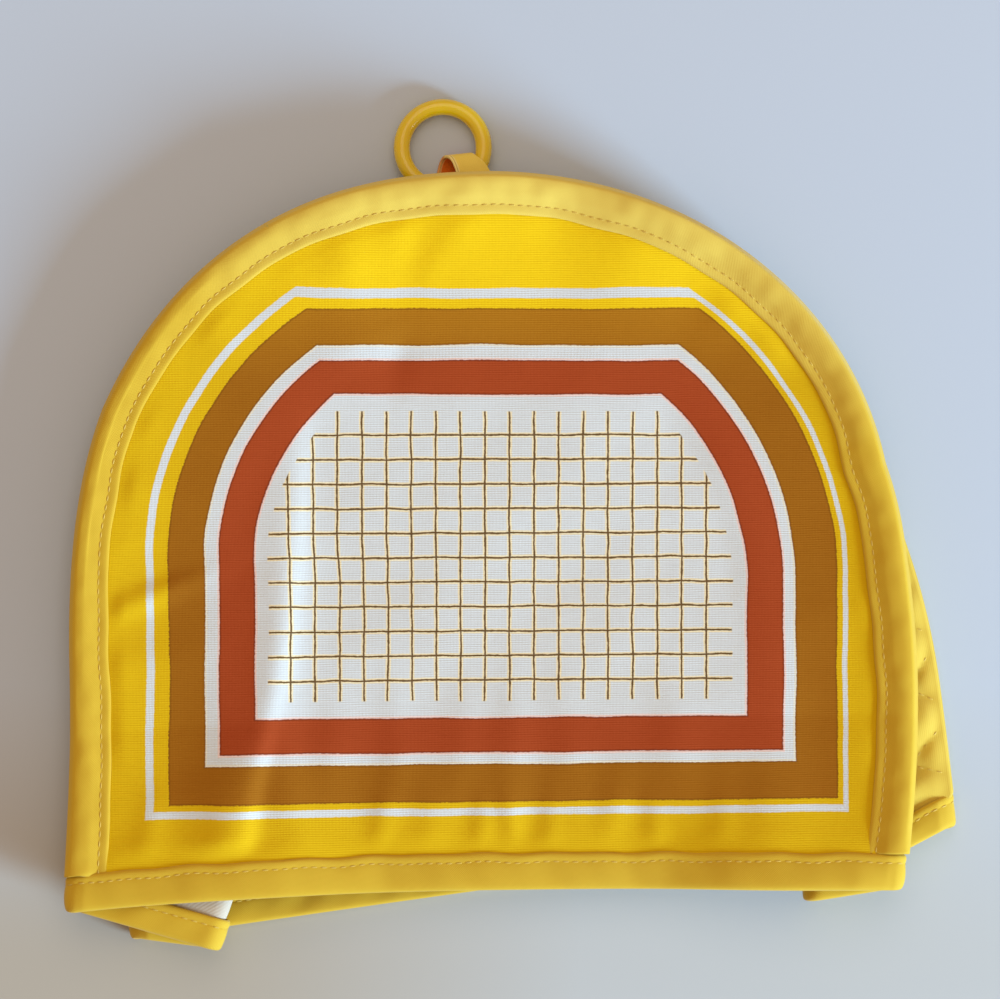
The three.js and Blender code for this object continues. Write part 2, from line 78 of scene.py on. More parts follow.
# Halves of a panel's outline: distance from the peak to the side, height at
# which the arch springs, the two powers of the arch, and the side's swell.
HALVES = named(
    "reach spring across up swell top",
    front_left=(138.2, 75.3, 2.34, 2.17, -4.0, 160),
    front_right=(129.2, 112.8, 1.99, 2.13, 6.2, 136),
    back_left=(130.0, 57.3, 1.9, 2.74, -3.5, 160),
    back_right=(138.0, 45.0, 2.0, 2.2, 0.6, 90),
)
# Where each panel lies: middle of its hem, turn, peak, and bow of the hem.
PANELS = named(
    "x y turn peak rise bow skew",
    front=(-4.6, -128.1, 1.65, 4.0, 232.3, 3.7, 0.72),
    back=(14.2, -123.4, 7.78, -4.1, 219.0, 0.8, 1.0),
)

# Where the bands begin along the arch, and how far they run on under the hem tape.
BAND_START = 11.8
BAND_TUCK = 0.4
# How far in from the rim the cloth and the strip are cut, and at the hem's corners.
CLOTH_INSET = 1.3
PEAK_GAP = 0.5
GUSSET_INSET = 0.2
CORNER_INSET = 5.2
CORNER_RUN = 12.0
# The corners stand up fully beside the hem tape, and not at all this far above it.
HEM_SHELF = 11.6
RAMP_END = 55.0
# Half the room that the hem tape leaves for what lies in it.
PANEL_ROOM = 0.85
GUSSET_ROOM = 1.6
CORNER_ROOM = 0.2
# How far past the end of each length of the mouth's edge its corner begins.
CORNER_STEPS = {"near": 0.4, "far": 1.5}
# Width of the side strip, from one seam to the other.
GUSSET_DEPTH = 79.0
# The least height of the middle of a tape over the table.
TABLE_GAP = 0.27

# Heights of the middle of each layer, along the arch and at the hem.
LEVELS = {
    "back": {"edge": 1.85, "inside": 0.5},
    "lower": {"arch": 3.85, "hem": 6.55},
    "upper": {"arch": 9.45, "hem": 12.05},
    "front": {"arch": 11.5, "hem": 16.8},
}
# The shallow hollow in the front panel's solid, and how far from each side its
# corners stand up.
SAG = {"depth": 1.0, "y": 100, "half_width": 80, "half_height": 76}
LIFT_LEFT = {"flat": 56, "end": 104}
LIFT_RIGHT = {"flat": 38, "end": 88}

# How the inner fold of the side strip strays beside each hem corner.
FOLD_LEFT = table("run inward droop", (0, -3.2, 13.2), (16, 2.8, 11.8), (60, 2.0, 4.5), (105, 0, 0))
FOLD_RIGHT = table("run inward droop", (0, -1.2, 3.1), (30, 0, 2.4), (70, 0, 0))

# Soft waves shared by the layers above the back panel.
WAVES = table(
    "x y turn long wide high",
    (-128, 20, 170, 46, 26, 0.9),
    (-104, 62, 140, 40, 24, 0.7),
    (-62, 92, 112, 40, 24, 0.8),
    (-14, 104, 92, 44, 26, 1.1),
    (60, 88, 60, 40, 26, 0.8),
    (112, 34, 24, 42, 26, 0.7),
    (132, -44, 4, 40, 24, 0.6),
)
# Main creases of the front panel.
CREASES = table(
    "x y turn long wide high",
    (-70, -72, 88, 58, 7, 1.1),
    (-40, -112, 80, 22, 8, 0.7),
    (4, -110, 96, 24, 9, 0.8),
    (38, -112, 84, 22, 8, 0.6),
    (-50, 60, 96, 30, 12, 0.7),
    (10, 20, 70, 60, 26, 0.6),
)
# Lesser creases and hollows of the front panel: the left side, the shoulders,
# the right side, those that rise from the hem tape, and those over them.
SMALL_CREASES = table(
    "x y turn long wide high",
    (-80, -76, 80, 50, 19, 1.3),
    (-112, -20.5, 4, 27, 5.5, -1.1),
    (-112, -31, 24, 24, 4.5, 1.6),
    (-122, -42, 0, 14, 5, -0.5),
    (-120, -53, 6, 16, 6, 0.5),
    (-120, -79, 8, 15, 7, 0.4),
    (-118, -92, 12, 17, 6, -0.6),
    (-116, 17, 160, 18, 6, -0.6),
    (-112, 2, 165, 20, 8, 0.6),
    (-104, 44, 142, 14, 6, -0.6),
    (-92, 56, 128, 18, 7, 0.6),
    (-76, 68, 58, 15, 6, -0.4),
    (-50, 74, 34, 26, 7, 0.5),
    (-30, 62, 80, 26, 5, -0.8),
    (-18, 80, 52, 18, 6, 0.6),
    (61, 82, 110, 9, 4, 0.9),
    (64, 74, 20, 9, 3.5, -0.6),
    (84, 52, 140, 24, 7, 0.8),
    (98, 30, 130, 20, 7, -0.7),
    (110, -14, 98, 30, 7, -0.9),
    (116, -33, 172, 12, 6, 0.5),
    (114, -52, 165, 16, 7, -0.5),
    (104, -84, 100, 26, 9, -0.7),
    (-112, -106, 78, 12, 5, 0.7),
    (-88, -107, 84, 10, 6, 0.5),
    (-64, -104, 96, 16, 6, 0.7),
    (-38, -106, 82, 13, 4, 0.8),
    (-22, -105, 92, 15, 5.5, 0.6),
    (-6, -106, 88, 12, 3.6, 0.7),
    (4, -106, 100, 12, 3.2, 0.6),
    (16, -106, 86, 14, 4, 0.7),
    (35, -105, 78, 16, 5, 0.6),
    (50, -107, 96, 12, 4, 0.8),
    (71, -106, 88, 13, 5, 0.6),
    (-54, -84, 86, 26, 6, 0.4),
    (-33, -80, 92, 26, 5, 0.4),
    (-13, -84, 84, 24, 6, 0.5),
    (4, -80, 88, 28, 6, 0.5),
    (23, -84, 94, 24, 6, 0.4),
    (56, -84, 92, 26, 8, 0.6),
)
# The long fold down the left of the front panel: its line and how far it drops.
LONG_FOLD = table(
    "y x drop",
    (-126, -82, 0.9),
    (-110, -80, 1.5),
    (-92, -77.4, 1.7),
    (-76, -73.6, 1.4),
    (-58, -69.4, 1.0),
    (-38, -66.2, 0.8),
    (-10, -63.6, 0.8),
    (12, -62.8, 0.6),
    (34, -61, 0.0),
)
LONG_FOLD_WIDTH = 3.2
LONG_FOLD_REACH = 15.0
# The hollow in the middle of the front panel, deeper than in its solid.
HOLLOW = {"x": 2, "y": -8, "wide": 82, "high": 66, "depth": 1.6, "flat": 1.5}

# How far the front cloth climbs to the seam round the arch, by the share of the
# way round, and how much of that the band loses again towards its inner edge.
SEAM_RISES = table(
    "share rise reach dip",
    (0.0, 0.3, 12, 0.3),
    (0.12, 0.7, 14, 0.3),
    (0.3, 2.2, 24, 0.6),
    (0.42, 4.6, 42, 1.8),
    (0.6, 4.4, 42, 1.8),
    (0.75, 2.8, 30, 1.0),
    (0.9, 1.8, 24, 0.8),
    (1.0, 0.5, 16, 0.3),
)
SEAM_START = 11.5
SEAM_FALL = 1.6
# How far the front cloth stands up beside the hem tape.
HEM_CLIMB = 0.8
# How far the lower edge of the front hem stands up, from left to right. The
# lift leans to the left as it goes up the tape.
HEM_LIFTS = table(
    "x lift",
    (-142, 0.5),
    (-128, 0.3),
    (-100, 0.7),
    (-60, 0.2),
    (0, 0.0),
    (19, -0.8),
    (50, -0.8),
    (78, 1.6),
    (92, 2.1),
    (112, 1.8),
    (124, -0.3),
)
HEM_LIFT_LEAN = 1.2
# Over the folded strip the front cloth can't sink, or its lining would show.
OVER_STRIP = {"floor": -0.35, "soft": 0.35, "lift": 0.25}

# Where a form starts and the distance over which it comes in, measured from the
# rim, the hem, the hem tape or an end, as each is used.
FADES = named(
    "start over",
    side=(0, RAMP_END),
    corner=(CORNER_RUN, 18),
    waves=(HEM_SHELF, RAMP_END),
    creases=(HEM_SHELF, 16),
    rim=(0, 3),
    climb=(-8, 12),
    hem_climb=(-9, 8),
    hem_climb_end=(0, 14),
    hem_climb_sides=(2, 10),
    beyond_band=(11.0, 6),
    beyond_hem=(0, 8),
    beyond_strip=(44, 14),
    back_inside=(0, 9),
    band_rise=(-0.15, 1.6),
    band_rise_ends=(-2, 14),
    strip_corner=(8.5, 3.0),
    strip_corner_at_hem=(CORNER_RUN, 8.0),
    quilt_ends=(9, 10),
    tab_edge=(0, 2),
)
# Puckers beside a seam: how far off they start to die down, and how soon.
PUCKERS = named("start reach", seam=(14, 12), hem=(3, 11))
# Soft unevenness: its height, the size of its waves, and what sets them apart.
UNEVEN = named(
    "high size seed",
    seam_rise=(0.12, 60, 2.6),
    seam_pucker=(1.0, 31, 2.0),
    hem_pucker=(1.0, 27, 5.0),
    front_slow=(0.22, 62, 1.3),
    front_quick=(0.05, 24, 3.1),
    back=(0.35, 46, 2.2),
    band_width=(0.28, 34, 4.0),
    band_lean=(0.16, 21, 6.0),
    band_ripple=(0.1, 8.5, 1.1),
    quilt_wander=(0.8, 40, 7.0),
    quilt_ripple=(0.2, 9, 3.0),
    quilt_swell=(0.3, 19, 1.0),
    lining=(0.1, 14, 2.0),
    tab=(0.12, 9, 2.0),
)
# The waves that an unevenness is summed from.
DRIFT = {
    "waves": 6, "turn": 2.399, "seed_turn": 1.7, "pace": 0.62, "pace_step": 0.19,
    "start": 1.3, "level": 2.4,
}
# How far from its rim and its hem the back cloth drops to the table.
BACK_INSIDE = {"rim": 13, "hem": 12}

# Width of the front band along the arch, by the share of the way round.
BAND_WIDTHS = table(
    "share width",
    (0.0, 12.9),
    (0.06, 12.5),
    (0.14, 11.2),
    (0.22, 10.6),
    (0.36, 11.8),
    (0.5, 12.8),
    (0.62, 12.6),
    (0.74, 12.2),
    (0.84, 12.8),
    (0.93, 12.2),
    (1.0, 12.6),
)
# Section of a band round the arch. Each place is a distance in from the rim,
# plus a share of the band's width, and its height over the middle of the cloth.
BAND_SECTION = table(
    "in width high",
    (0.5, 0, -0.6),
    (0.0, 0, -0.2),
    (-0.15, 0, 0.5),
    (0.1, 0, 1.15),
    (0.8, 0, 1.85),
    (2.0, 0, 2.35),
    (3.8, 0, 2.55),
    (-6.3, 1, 2.25),
    (-4.6, 1, 1.65),
    (-3.2, 1, 1.12),
    (-2.7, 1, 0.96),
    (-2.3, 1, 0.98),
    (-1.3, 1, 1.02),
    (-0.4, 1, 0.9),
    (0.0, 1, 0.5),
)
# The share of the section at which the band is sewn, how far its unevenness leans,
# and the height of the back band, which is pressed flatter by the cover's weight.
BAND_SEAM = 10 / 14
BAND_LEAN = 6
BAND_RIPPLE_LEAN = 9
BACK_BAND_HEIGHT = 0.84
# Section of the hem tape, from the lip of its outer face round the fold to the
# lip of its inner face. Each place is a depth from the fold, plus a share of the
# face's own height, and a height off the cloth, with the room that cloth takes.
HEM_SECTION = table(
    "deep face room off",
    (0.0, 1, 1, 0.25),
    (-0.35, 1, 1, 0.8),
    (-1.3, 1, 1, 1.0),
    (-2.3, 1, 1, 0.86),
    (-2.7, 1, 1, 0.78),
    (-3.1, 1, 1, 0.88),
    (-4.4, 1, 1, 1.05),
    (4.0, 0, 1, 1.15),
    (1.6, 0, 1, 1.0),
    (0.4, 0, 1, 0.6),
    (0.0, 0, 0.5, 0.2),
    (0.0, 0, -0.5, -0.2),
    (0.4, 0, -1, -0.6),
    (1.6, 0, -1, -0.95),
    (4.6, 0, -1, -1.0),
    (6.9, 0, -1, -0.85),
    (7.3, 0, -1, -0.68),
    (7.7, 0, -1, -0.85),
    (8.7, 0, -1, -1.05),
    (9.65, 0, -1, -0.85),
    (10.0, 0, -1, -0.25),
)
# The shares of the section at which the hem tape is sewn, outside and inside.
HEM_SEAMS = (4 / 20, 16 / 20)
HEM_FACE = 11
# A tenth of the hem beside each corner turns with it.
HEM_CORNER_SHARE = 10
HEM_STATIONS = {"front": 300, "back": 260, "strip": 110, "corner": 17}
HEM_SLOPE_REACH = 9
# Small waves of the hem tape: how many go round, their phase and their lean.
HEM_WAVES = table(
    "count phase high lean", (17, 1.0, 1.0, 0), (29, 2.2, 0.9, 1 / 5), (53, 0.4, 0.7, 1 / 3)
)
HEM_EDGE_WAVES = table("count phase", (23, 0.3), (37, 1.9))
# How far those waves move the tape's sides and its lips.
HEM_WAVE = {"side": 0.16, "edge": 0.18}
# How far apart a sheet is read for its ways and normals, as shares of it.
ON_SHEET = {"near": 0.0008, "wide": 0.01}
# A stitch's half height, as a share of its thread, and its gap over the cloth.
STITCH = {"flat": 0.42, "clear": 0.04}
# Hem stitches lower than this are hidden under the cover.
STITCHES_SHOW = 1.2

# Where the quilting lines of each way start, and the depths between which they
# show. They lie aslant, so a distance off them is less than one along the strip.
QUILT = {
    "falling": 3.2, "rising": 17.2, "shows_from": 52.0, "shows_to": GUSSET_DEPTH - 2.0,
    "slant": 0.707, "half": 0.354, "slope": 1.25, "edges": 16, "past_ends": 4, "settling": 4,
}
QUILT_LEAST_SWELL = -0.1
QUILT_RIPPLE_REACH = 3
# How far the strip's outer cloth and its lining stand off the middle between them.
QUILT_OFF = 0.65
LINING_OFF = 0.75
# Quilting is sewn from this share of the arch to this distance from its end.
QUILT_SHOWS = {"share": 0.55, "end": 12}

# The middle of the ring, and how far it tips.
RING = {"x": -18.4, "y": 113.1, "z": 3.42, "tilt": -3.55}
# The raised parting line of the ring's mould.
RING_LINE = {"half_height": 0.35, "share": 0.0012}
# The loop of tape, out over the ring and back to the seam: its middle line, its two
# edges, and how far it turns in plan.
TAB = table(
    "y z left right slope",
    (94.4, 4.3, -14.5, -3.5, 0.02),
    (97.6, 6.9, -14.0, -3.0, 0.02),
    (100.6, 7.7, -13.8, -2.8, 0.02),
    (104.2, 7.7, -13.9, -2.9, 0.04),
    (107.5, 7.45, -14.8, -5.0, 0.1),
    (109.8, 6.3, -16.0, -8.0, 0.14),
    (110.6, 3.9, -17.6, -9.4, 0.1),
    (109.6, 1.5, -19.0, -9.2, 0.08),
    (107.3, 0.62, -19.9, -8.4, 0.06),
    (104.2, 0.62, -20.3, -9.0, 0.04),
    (100.2, 0.62, -19.4, -8.6, 0.02),
    (97.2, 0.64, -18.0, -7.0, 0.02),
    (94.4, 1.4, -17.0, -6.0, 0.02),
)
# The row at which the loop turns back.
TAB_FOLD = 6

# Shoulders of the printed borders, which all share these two arcs.
SHOULDERS = named("x y radius", left=(-9.4, -20.7, 104.4), right=(-1.3, -26.6, 113.4))
PRINT_TOP = 67.7
PRINT_BOTTOM = -102.6
# Low down the print leans a little, and at the lower left it lies further in.
PRINT_LEAN = {"by": 0.0115, "from": 40, "over": 140}
PRINT_SHIFT = {"by": 0.8, "below": -8.0, "over": 22.0, "across": 60}
# How far each edge of the borders lies in from its even place, side by side.
PRINT_STRAYS = named(
    "line gap brown white rust field",
    left=(0, 0, 0, 0, 0, 0),
    right=(0.95, 0.05, -2.9, -1.2, -1.9, -1.8),
    top=(0, 0.7, -0.7, -0.6, -0.3, -0.8),
    bottom=(1.75, 1.6, -1.15, -0.7, -1.6, -2.0),
)
# Painted highlight: the print is painted lighter towards the top, except at its far left, for the
# light falling where the cloth climbs to the seam.
PRINT_LIT_TOP = {"from": 38.0, "left": -95.0, "over": 30.0}
# How far in from the rust border the lines of the grid begin.
FIELD_MARGINS = {"left": 4.2, "right": 2.9, "top": 4.6, "bottom": 3.4}

# Faces along and across each sheet.
GRIDS = {
    "front_cloth": (216, 184),
    "back_cloth": (120, 100),
    "back_band": (300, 28),
    "side_strip": (460, 84),
    "strip_lining": (300, 60),
    "front_band": (640, 46),
    "hem_tape": (860, 52),
    "hanging_loop": (110, 30),
}

# Where each lamp stands, in degrees and metres, and its size and light.
LAMPS = named(
    "turn height size away colour",
    window=(-33, 17, 0.75, 2.4, (0.5, 0.76, 1.0)),
    ceiling=(90, 58, 1.4, 1.8, (1.0, 0.91, 0.79)),
)
ROOM_COLOUR = (1.0, 0.75, 0.55)
SENSOR = 36.0


# ---------------------------------------------------------------- shapes in mm


def mix(a, b, share):
    return a + (b - a) * share


def smooth(value):
    share = np.clip(value, 0, 1)
    return share * share * (3 - 2 * share)


def fade(name, value):
    """Comes softly from 0 to 1, over the distance that its row gives."""
    return smooth((value - FADES[name]["start"]) / FADES[name]["over"])


def read_table(rows, at, key, column):
    return np.interp(at, [row[key] for row in rows], [row[column] for row in rows])


def ridges(rows, x, y):
    total = np.zeros_like(x)
    for row in rows:
        turn = math.radians(row["turn"])
        dx, dy = x - row["x"], y - row["y"]
        along = (dx * math.cos(turn) + dy * math.sin(turn)) / row["long"]
        across = (dy * math.cos(turn) - dx * math.sin(turn)) / row["wide"]
        total += row["high"] * np.exp(-along * along - across * across)
    return total


def drift(name, x, y=None):
    """The unevenness of that name, at places or along one line."""
    row = UNEVEN[name]
    y = 0 * x if y is None else y
    total = np.zeros(np.broadcast(x, y).shape)
    for k in range(DRIFT["waves"]):
        turn = row["seed"] * DRIFT["seed_turn"] + k * DRIFT["turn"]
        pace = 2 * math.pi / row["size"] * (DRIFT["pace"] + DRIFT["pace_step"] * k)
        start = row["seed"] * (k + DRIFT["start"])
        total += np.sin((x * math.cos(turn) + y * math.sin(turn)) * pace + start)
    return total / DRIFT["level"] * row["high"]


def pucker(name, x, distance):
    """The puckers along a seam, dying down with the distance from it."""
    past = np.maximum(distance - PUCKERS[name]["start"], 0)
    return drift(name + "_pucker", x) * np.exp(-past / PUCKERS[name]["reach"])


def through(points, at):
    """Places on a smooth curve through the points, for shares from 0 to 1."""
    points = np.asarray(points, float)
    count = len(points) - 1
    spot = np.clip(np.asarray(at, float), 0, 1) * count
    first = np.minimum(spot.astype(int), count - 1)
    t = (spot - first)[..., None]
    before = points[np.maximum(first - 1, 0)]
    start, end = points[first], points[first + 1]
    after = points[np.minimum(first + 2, count)]
    return 0.5 * (
        2 * start
        + (end - before) * t
        + (2 * before - 5 * start + 4 * end - after) * t**2
        + (3 * start - before - 3 * end + after) * t**3
    )


def section_at(rows, share):
    """The columns of a section's table, on a smooth curve through its rows."""
    return through([list(row.values()) for row in rows], share).T


def bend(start, one, two, end, t):
    """Places on the curve from start to end that the two middle points pull."""
    return (1 - t) ** 3 * start + 3 * (1 - t) ** 2 * t * one + 3 * (1 - t) * t**2 * two + t**3 * end


def round_reach(gap):
    """How far the middle points of a half round stand off its ends."""
    return 4 / 3 * gap / 2


def unit(vectors):
    return vectors / np.maximum(np.linalg.norm(vectors, axis=-1, keepdims=True), 1e-9)


class Panel:
    """The outline of one panel, lying in plan."""

    half_steps = 160
    side_steps = 900
    edge_steps = 260
    # Distances are worked out for so many places at a time, to spare memory.
    batch = 8000

    def __init__(self, row, left, right):
        self.row = row
        turn = math.radians(row["turn"])
        self.across = np.array((math.cos(turn), math.sin(turn)))
        self.up = np.array((-math.sin(turn), math.cos(turn)))
        self.hem_left = row["peak"] - left["reach"]
        self.hem_right = row["peak"] + right["reach"]
        left_points, right_points = self.half(left, -1), self.half(right, 1)
        self.points = np.vstack((left_points, right_points[::-1][1:]))
        steps = np.linalg.norm(np.diff(self.points, axis=0), axis=1)
        self.runs = np.concatenate(([0], np.cumsum(steps)))
        self.length = self.runs[-1]

    def place(self, x, y):
        x, y = np.asarray(x, float)[..., None], np.asarray(y, float)[..., None]
        return np.array((self.row["x"], self.row["y"])) + x * self.across + y * self.up

    def read(self, place):
        away = place - np.array((self.row["x"], self.row["y"]))
        return away @ self.across, away @ self.up

    def bow(self, x):
        share = np.clip((x - self.hem_left) / (self.hem_right - self.hem_left), 0, 1)
        return self.row["bow"] * np.sin(np.pi * share ** self.row["skew"])

    def half(self, half, side):
        rise, peak, spring = self.row["rise"], self.row["peak"], half["spring"]
        share = np.linspace(0, 1, self.half_steps + 1)

        def side_reach(y):
            return half["reach"] + half["swell"] * np.sin(np.pi * np.clip(y / half["top"], 0, 1))

        low = spring * share[:-1]
        angle = np.pi / 2 * share
        high = spring + (rise - spring) * np.sin(angle) ** (2 / half["up"])
        arch = side_reach(high) * np.maximum(np.cos(angle), 0) ** (2 / half["across"])
        x = np.concatenate((side_reach(low), arch))
        return self.place(peak + side * x, np.concatenate((low, high)))

    def at(self, run):
        run = np.clip(run, 0, self.length)
        return np.stack([np.interp(run, self.runs, self.points[:, k]) for k in (0, 1)], -1)

    def to_end(self, run):
        return np.minimum(run, self.length - run)

    def inward(self, run, reach=5):
        way = unit(self.at(run + reach) - self.at(run - reach))
        normal = np.stack((way[..., 1], -way[..., 0]), -1)
        side = np.where(run < self.length / 2, 1.0, -1.0)[..., None]
        share = fade("side", self.to_end(run))[..., None]
        return unit(mix(side * self.across, normal, share))

    def margin(self, run, inset):
        """Places inside the outline; beside the hem they keep level with the tape."""
        run, inset = np.broadcast_arrays(np.asarray(run, float), np.asarray(inset, float))
        to_end = self.to_end(run)
        place = self.at(run) + self.inward(run) * inset[..., None]
        x, y = self.read(place)
        level = np.where(to_end <= CORNER_RUN, self.bow(x) + to_end, y)
        return self.place(x, level)

    def corner(self, right, inset, height):
        run = self.length - BAND_START if right else BAND_START
        foot = self.hem_right - inset if right else self.hem_left + inset
        top = self.read(self.margin(run, inset))[0]
        x = mix(foot, top, height / BAND_START)
        return self.place(x, self.bow(x) + height)

    def sides(self, inset):
        """Left and right limits in the panel's own frame, against height."""
        run = np.linspace(0, self.length, self.side_steps)
        room = mix(CORNER_INSET, inset, fade("corner", self.to_end(run)))
        x, y = self.read(self.margin(run, room))
        top = int(np.argmax(y))
        left = np.maximum.accumulate(y[: top + 1]), x[: top + 1]
        right = np.maximum.accumulate(y[top:][::-1]), x[top:][::-1]
        return left, right

    def edge_distance(self, place):
        """Distance in from the arch and the run of its nearest place."""
        run = np.linspace(0, self.length, self.edge_steps)
        spots = self.at(run)
        ways = unit(np.gradient(spots, axis=0))
        distance, nearest = np.empty(len(place)), np.empty(len(place))
        for start in range(0, len(place), self.batch):
            part = slice(start, start + self.batch)
            gap = np.linalg.norm(place[part, None] - spots[None], axis=2)
            spot = gap.argmin(1)
            past = ((place[part] - spots[spot]) * ways[spot]).sum(-1)
            distance[part] = np.sqrt(np.maximum(gap.min(1) ** 2 - past**2, 0))
            nearest[part] = run[spot] + past
        return distance, nearest


FRONT = Panel(PANELS["front"], HALVES["front_left"], HALVES["front_right"])
BACK = Panel(PANELS["back"], HALVES["back_left"], HALVES["back_right"])


def ramp_share(distance):
    return np.clip((RAMP_END - distance) / (RAMP_END - HEM_SHELF), 0, 1)


def shared_wave(place):
    high = FRONT.read(place)[1]
    return ridges(WAVES, place[..., 0], place[..., 1]) * fade("waves", high)


def corner_lift(lift, from_side):
    """1 beside a corner of the hem, and 0 past the end of its lift."""
    return 1 - smooth((from_side - lift["flat"]) / (lift["end"] - lift["flat"]))


def hump(value):
    return np.maximum(1 - value * value, 0) ** 2


def front_height(place):
    """Middle height of the front panel's solid, and the lift of its hem."""
    x, y = FRONT.read(place)
    X, Y = place[..., 0], place[..., 1]
    from_hem = y - FRONT.bow(x)
    left = corner_lift(LIFT_LEFT, x - FRONT.hem_left)
    right = corner_lift(LIFT_RIGHT, FRONT.hem_right - x)
    level = LEVELS["front"]
    corner = (level["hem"] - level["arch"]) * np.maximum(left, right)
    sag = SAG["depth"] * hump(x / SAG["half_width"]) * hump((y - SAG["y"]) / SAG["half_height"])
    crease = ridges(CREASES, X, Y) * fade("creases", from_hem)
    lift = read_table(HEM_LIFTS, X - HEM_LIFT_LEAN * from_hem, "x", "lift")
    hem = lift * np.clip(1 - from_hem / HEM_SHELF, 0, 1)
    return level["arch"] + corner * ramp_share(from_hem) + shared_wave(place) + crease - sag + hem


def long_fold(x, y):
    """The step that the long fold makes, high on its left and low on its right."""
    away = x - read_table(LONG_FOLD, y, "y", "x")
    drop = read_table(LONG_FOLD, y, "y", "drop")
    return -drop * np.tanh(away / LONG_FOLD_WIDTH) * np.exp(-((away / LONG_FOLD_REACH) ** 2))


def hollow(x, y):
    across, up = (x - HOLLOW["x"]) / HOLLOW["wide"], (y - HOLLOW["y"]) / HOLLOW["high"]
    return -HOLLOW["depth"] * np.exp(-((across**2 + up**2) ** HOLLOW["flat"]))


def seam_rise(run, across):
    """How far the cloth and its band stand up beside the seam."""
    share = run / FRONT.length
    rise = read_table(SEAM_RISES, share, "share", "rise") * (1 + drift("seam_rise", run))
    return rise + read_table(SEAM_RISES, share, "share", "dip") * (0.5 - across)


def kept_up(height, floor, soft):
    """Lets a height fall softly to a floor and no further."""
    return floor + np.logaddexp(0, (height - floor) / soft) * soft


def sheet_rows(panel, u, v, inset):
    """Plan places of a panel: rows follow its hem and columns its sides."""
    left, right = panel.sides(inset)
    y = mix(inset, panel.row["rise"] - inset - PEAK_GAP, v)
    x = mix(np.interp(y, *left), np.interp(y, *right), u)
    return panel.place(x, y + panel.bow(x) * (1 - v) ** 2)


def print_place(x, y):
    """Where a place of the front cloth lies on the flat print."""
    lean = PRINT_LEAN["by"] * x * np.clip((PRINT_LEAN["from"] - y) / PRINT_LEAN["over"], 0, 1)
    low = smooth((PRINT_SHIFT["below"] - y) / PRINT_SHIFT["over"])
    shift = PRINT_SHIFT["by"] * low * smooth(-x / PRINT_SHIFT["across"])
    return np.column_stack((x - shift, y - lean))


def front_sheet(u, v, sizes):
    place = sheet_rows(FRONT, u, v, CLOTH_INSET)
    distance, run = FRONT.edge_distance(place)
    x, y = FRONT.read(place)
    over_hem = y - FRONT.bow(x) - HEM_SHELF
    X, Y = place[:, 0], place[:, 1]
    reach = read_table(SEAM_RISES, run / FRONT.length, "share", "reach")
    fall = (1 - np.clip((distance - SEAM_START) / reach, 0, 1)) ** SEAM_FALL
    climb = seam_rise(run, 1.0) * fall * fade("climb", over_hem)
    hem_climb = HEM_CLIMB * (1 - fade("hem_climb_end", over_hem)) * fade("hem_climb", over_hem)
    hem_climb = hem_climb * fade("hem_climb_sides", distance)
    puckers = pucker("seam", run, distance) + pucker("hem", x, over_hem)
    soft = drift("front_slow", X, Y) + drift("front_quick", X, Y)
    detail = ridges(SMALL_CREASES, X, Y) + long_fold(X, Y) + hollow(X, Y)
    detail = detail + sizes.pucker / MM * puckers + soft
    kept = kept_up(detail, OVER_STRIP["floor"], OVER_STRIP["soft"]) + OVER_STRIP["lift"]
    detail = mix(detail, kept, 1 - fade("beyond_strip", distance))
    free = fade("beyond_band", distance) * fade("beyond_hem", over_hem)
    height = front_height(place) + free * detail + climb * fade("rim", distance) + hem_climb
    return np.column_stack((place, height)), print_place(X, Y)


def back_sheet(u, v):
    place = sheet_rows(BACK, u, v, CLOTH_INSET)
    distance, _ = BACK.edge_distance(place)
    x, y = BACK.read(place)
    past_tapes = np.minimum(distance - BACK_INSIDE["rim"], y - BACK.bow(x) - BACK_INSIDE["hem"])
    inside = fade("back_inside", past_tapes)
    height = mix(LEVELS["back"]["edge"], LEVELS["back"]["inside"], inside)
    height = height + inside * np.maximum(drift("back", place[:, 0], place[:, 1]), 0)
    return np.column_stack((place, height)), np.column_stack((x, y))


def band_run(panel, u):
    """The run of a band, whose ends are tucked under the hem tape."""
    tuck = BAND_START - BAND_TUCK
    return mix(tuck, panel.length - tuck, u)


def front_band_sheet(u, v):
    run = band_run(FRONT, u)
    width = read_table(BAND_WIDTHS, u, "share", "width") + drift("band_width", run)
    inward, share, lift = section_at(BAND_SECTION, v)
    inset = inward + share * width
    place = FRONT.margin(run, inset)
    across = inset / width
    over = np.clip(across, 0, 1)
    lean = drift("band_lean", run + BAND_LEAN * across, BAND_LEAN * across)
    ripple = drift("band_ripple", run, BAND_RIPPLE_LEAN * across)
    lift = lift + np.sin(np.pi * over) * (lean + ripple)
    to_hem = FRONT.to_end(run) - BAND_START
    lift = lift + seam_rise(run, over) * fade("band_rise", inset) * fade("band_rise_ends", to_hem)
    height = front_height(place) + lift
    return np.column_stack((place, height)), np.column_stack((run, inset))


def back_band_sheet(u, v, sizes):
    run = band_run(BACK, u)
    inward, share, lift = section_at(BAND_SECTION, v)
    inset = inward + share * sizes.band_width / MM
    place = BACK.margin(run, inset)
    height = np.maximum(LEVELS["back"]["edge"] - lift * BACK_BAND_HEIGHT, TABLE_GAP)
    return np.column_stack((place, height)), np.column_stack((run, inset))


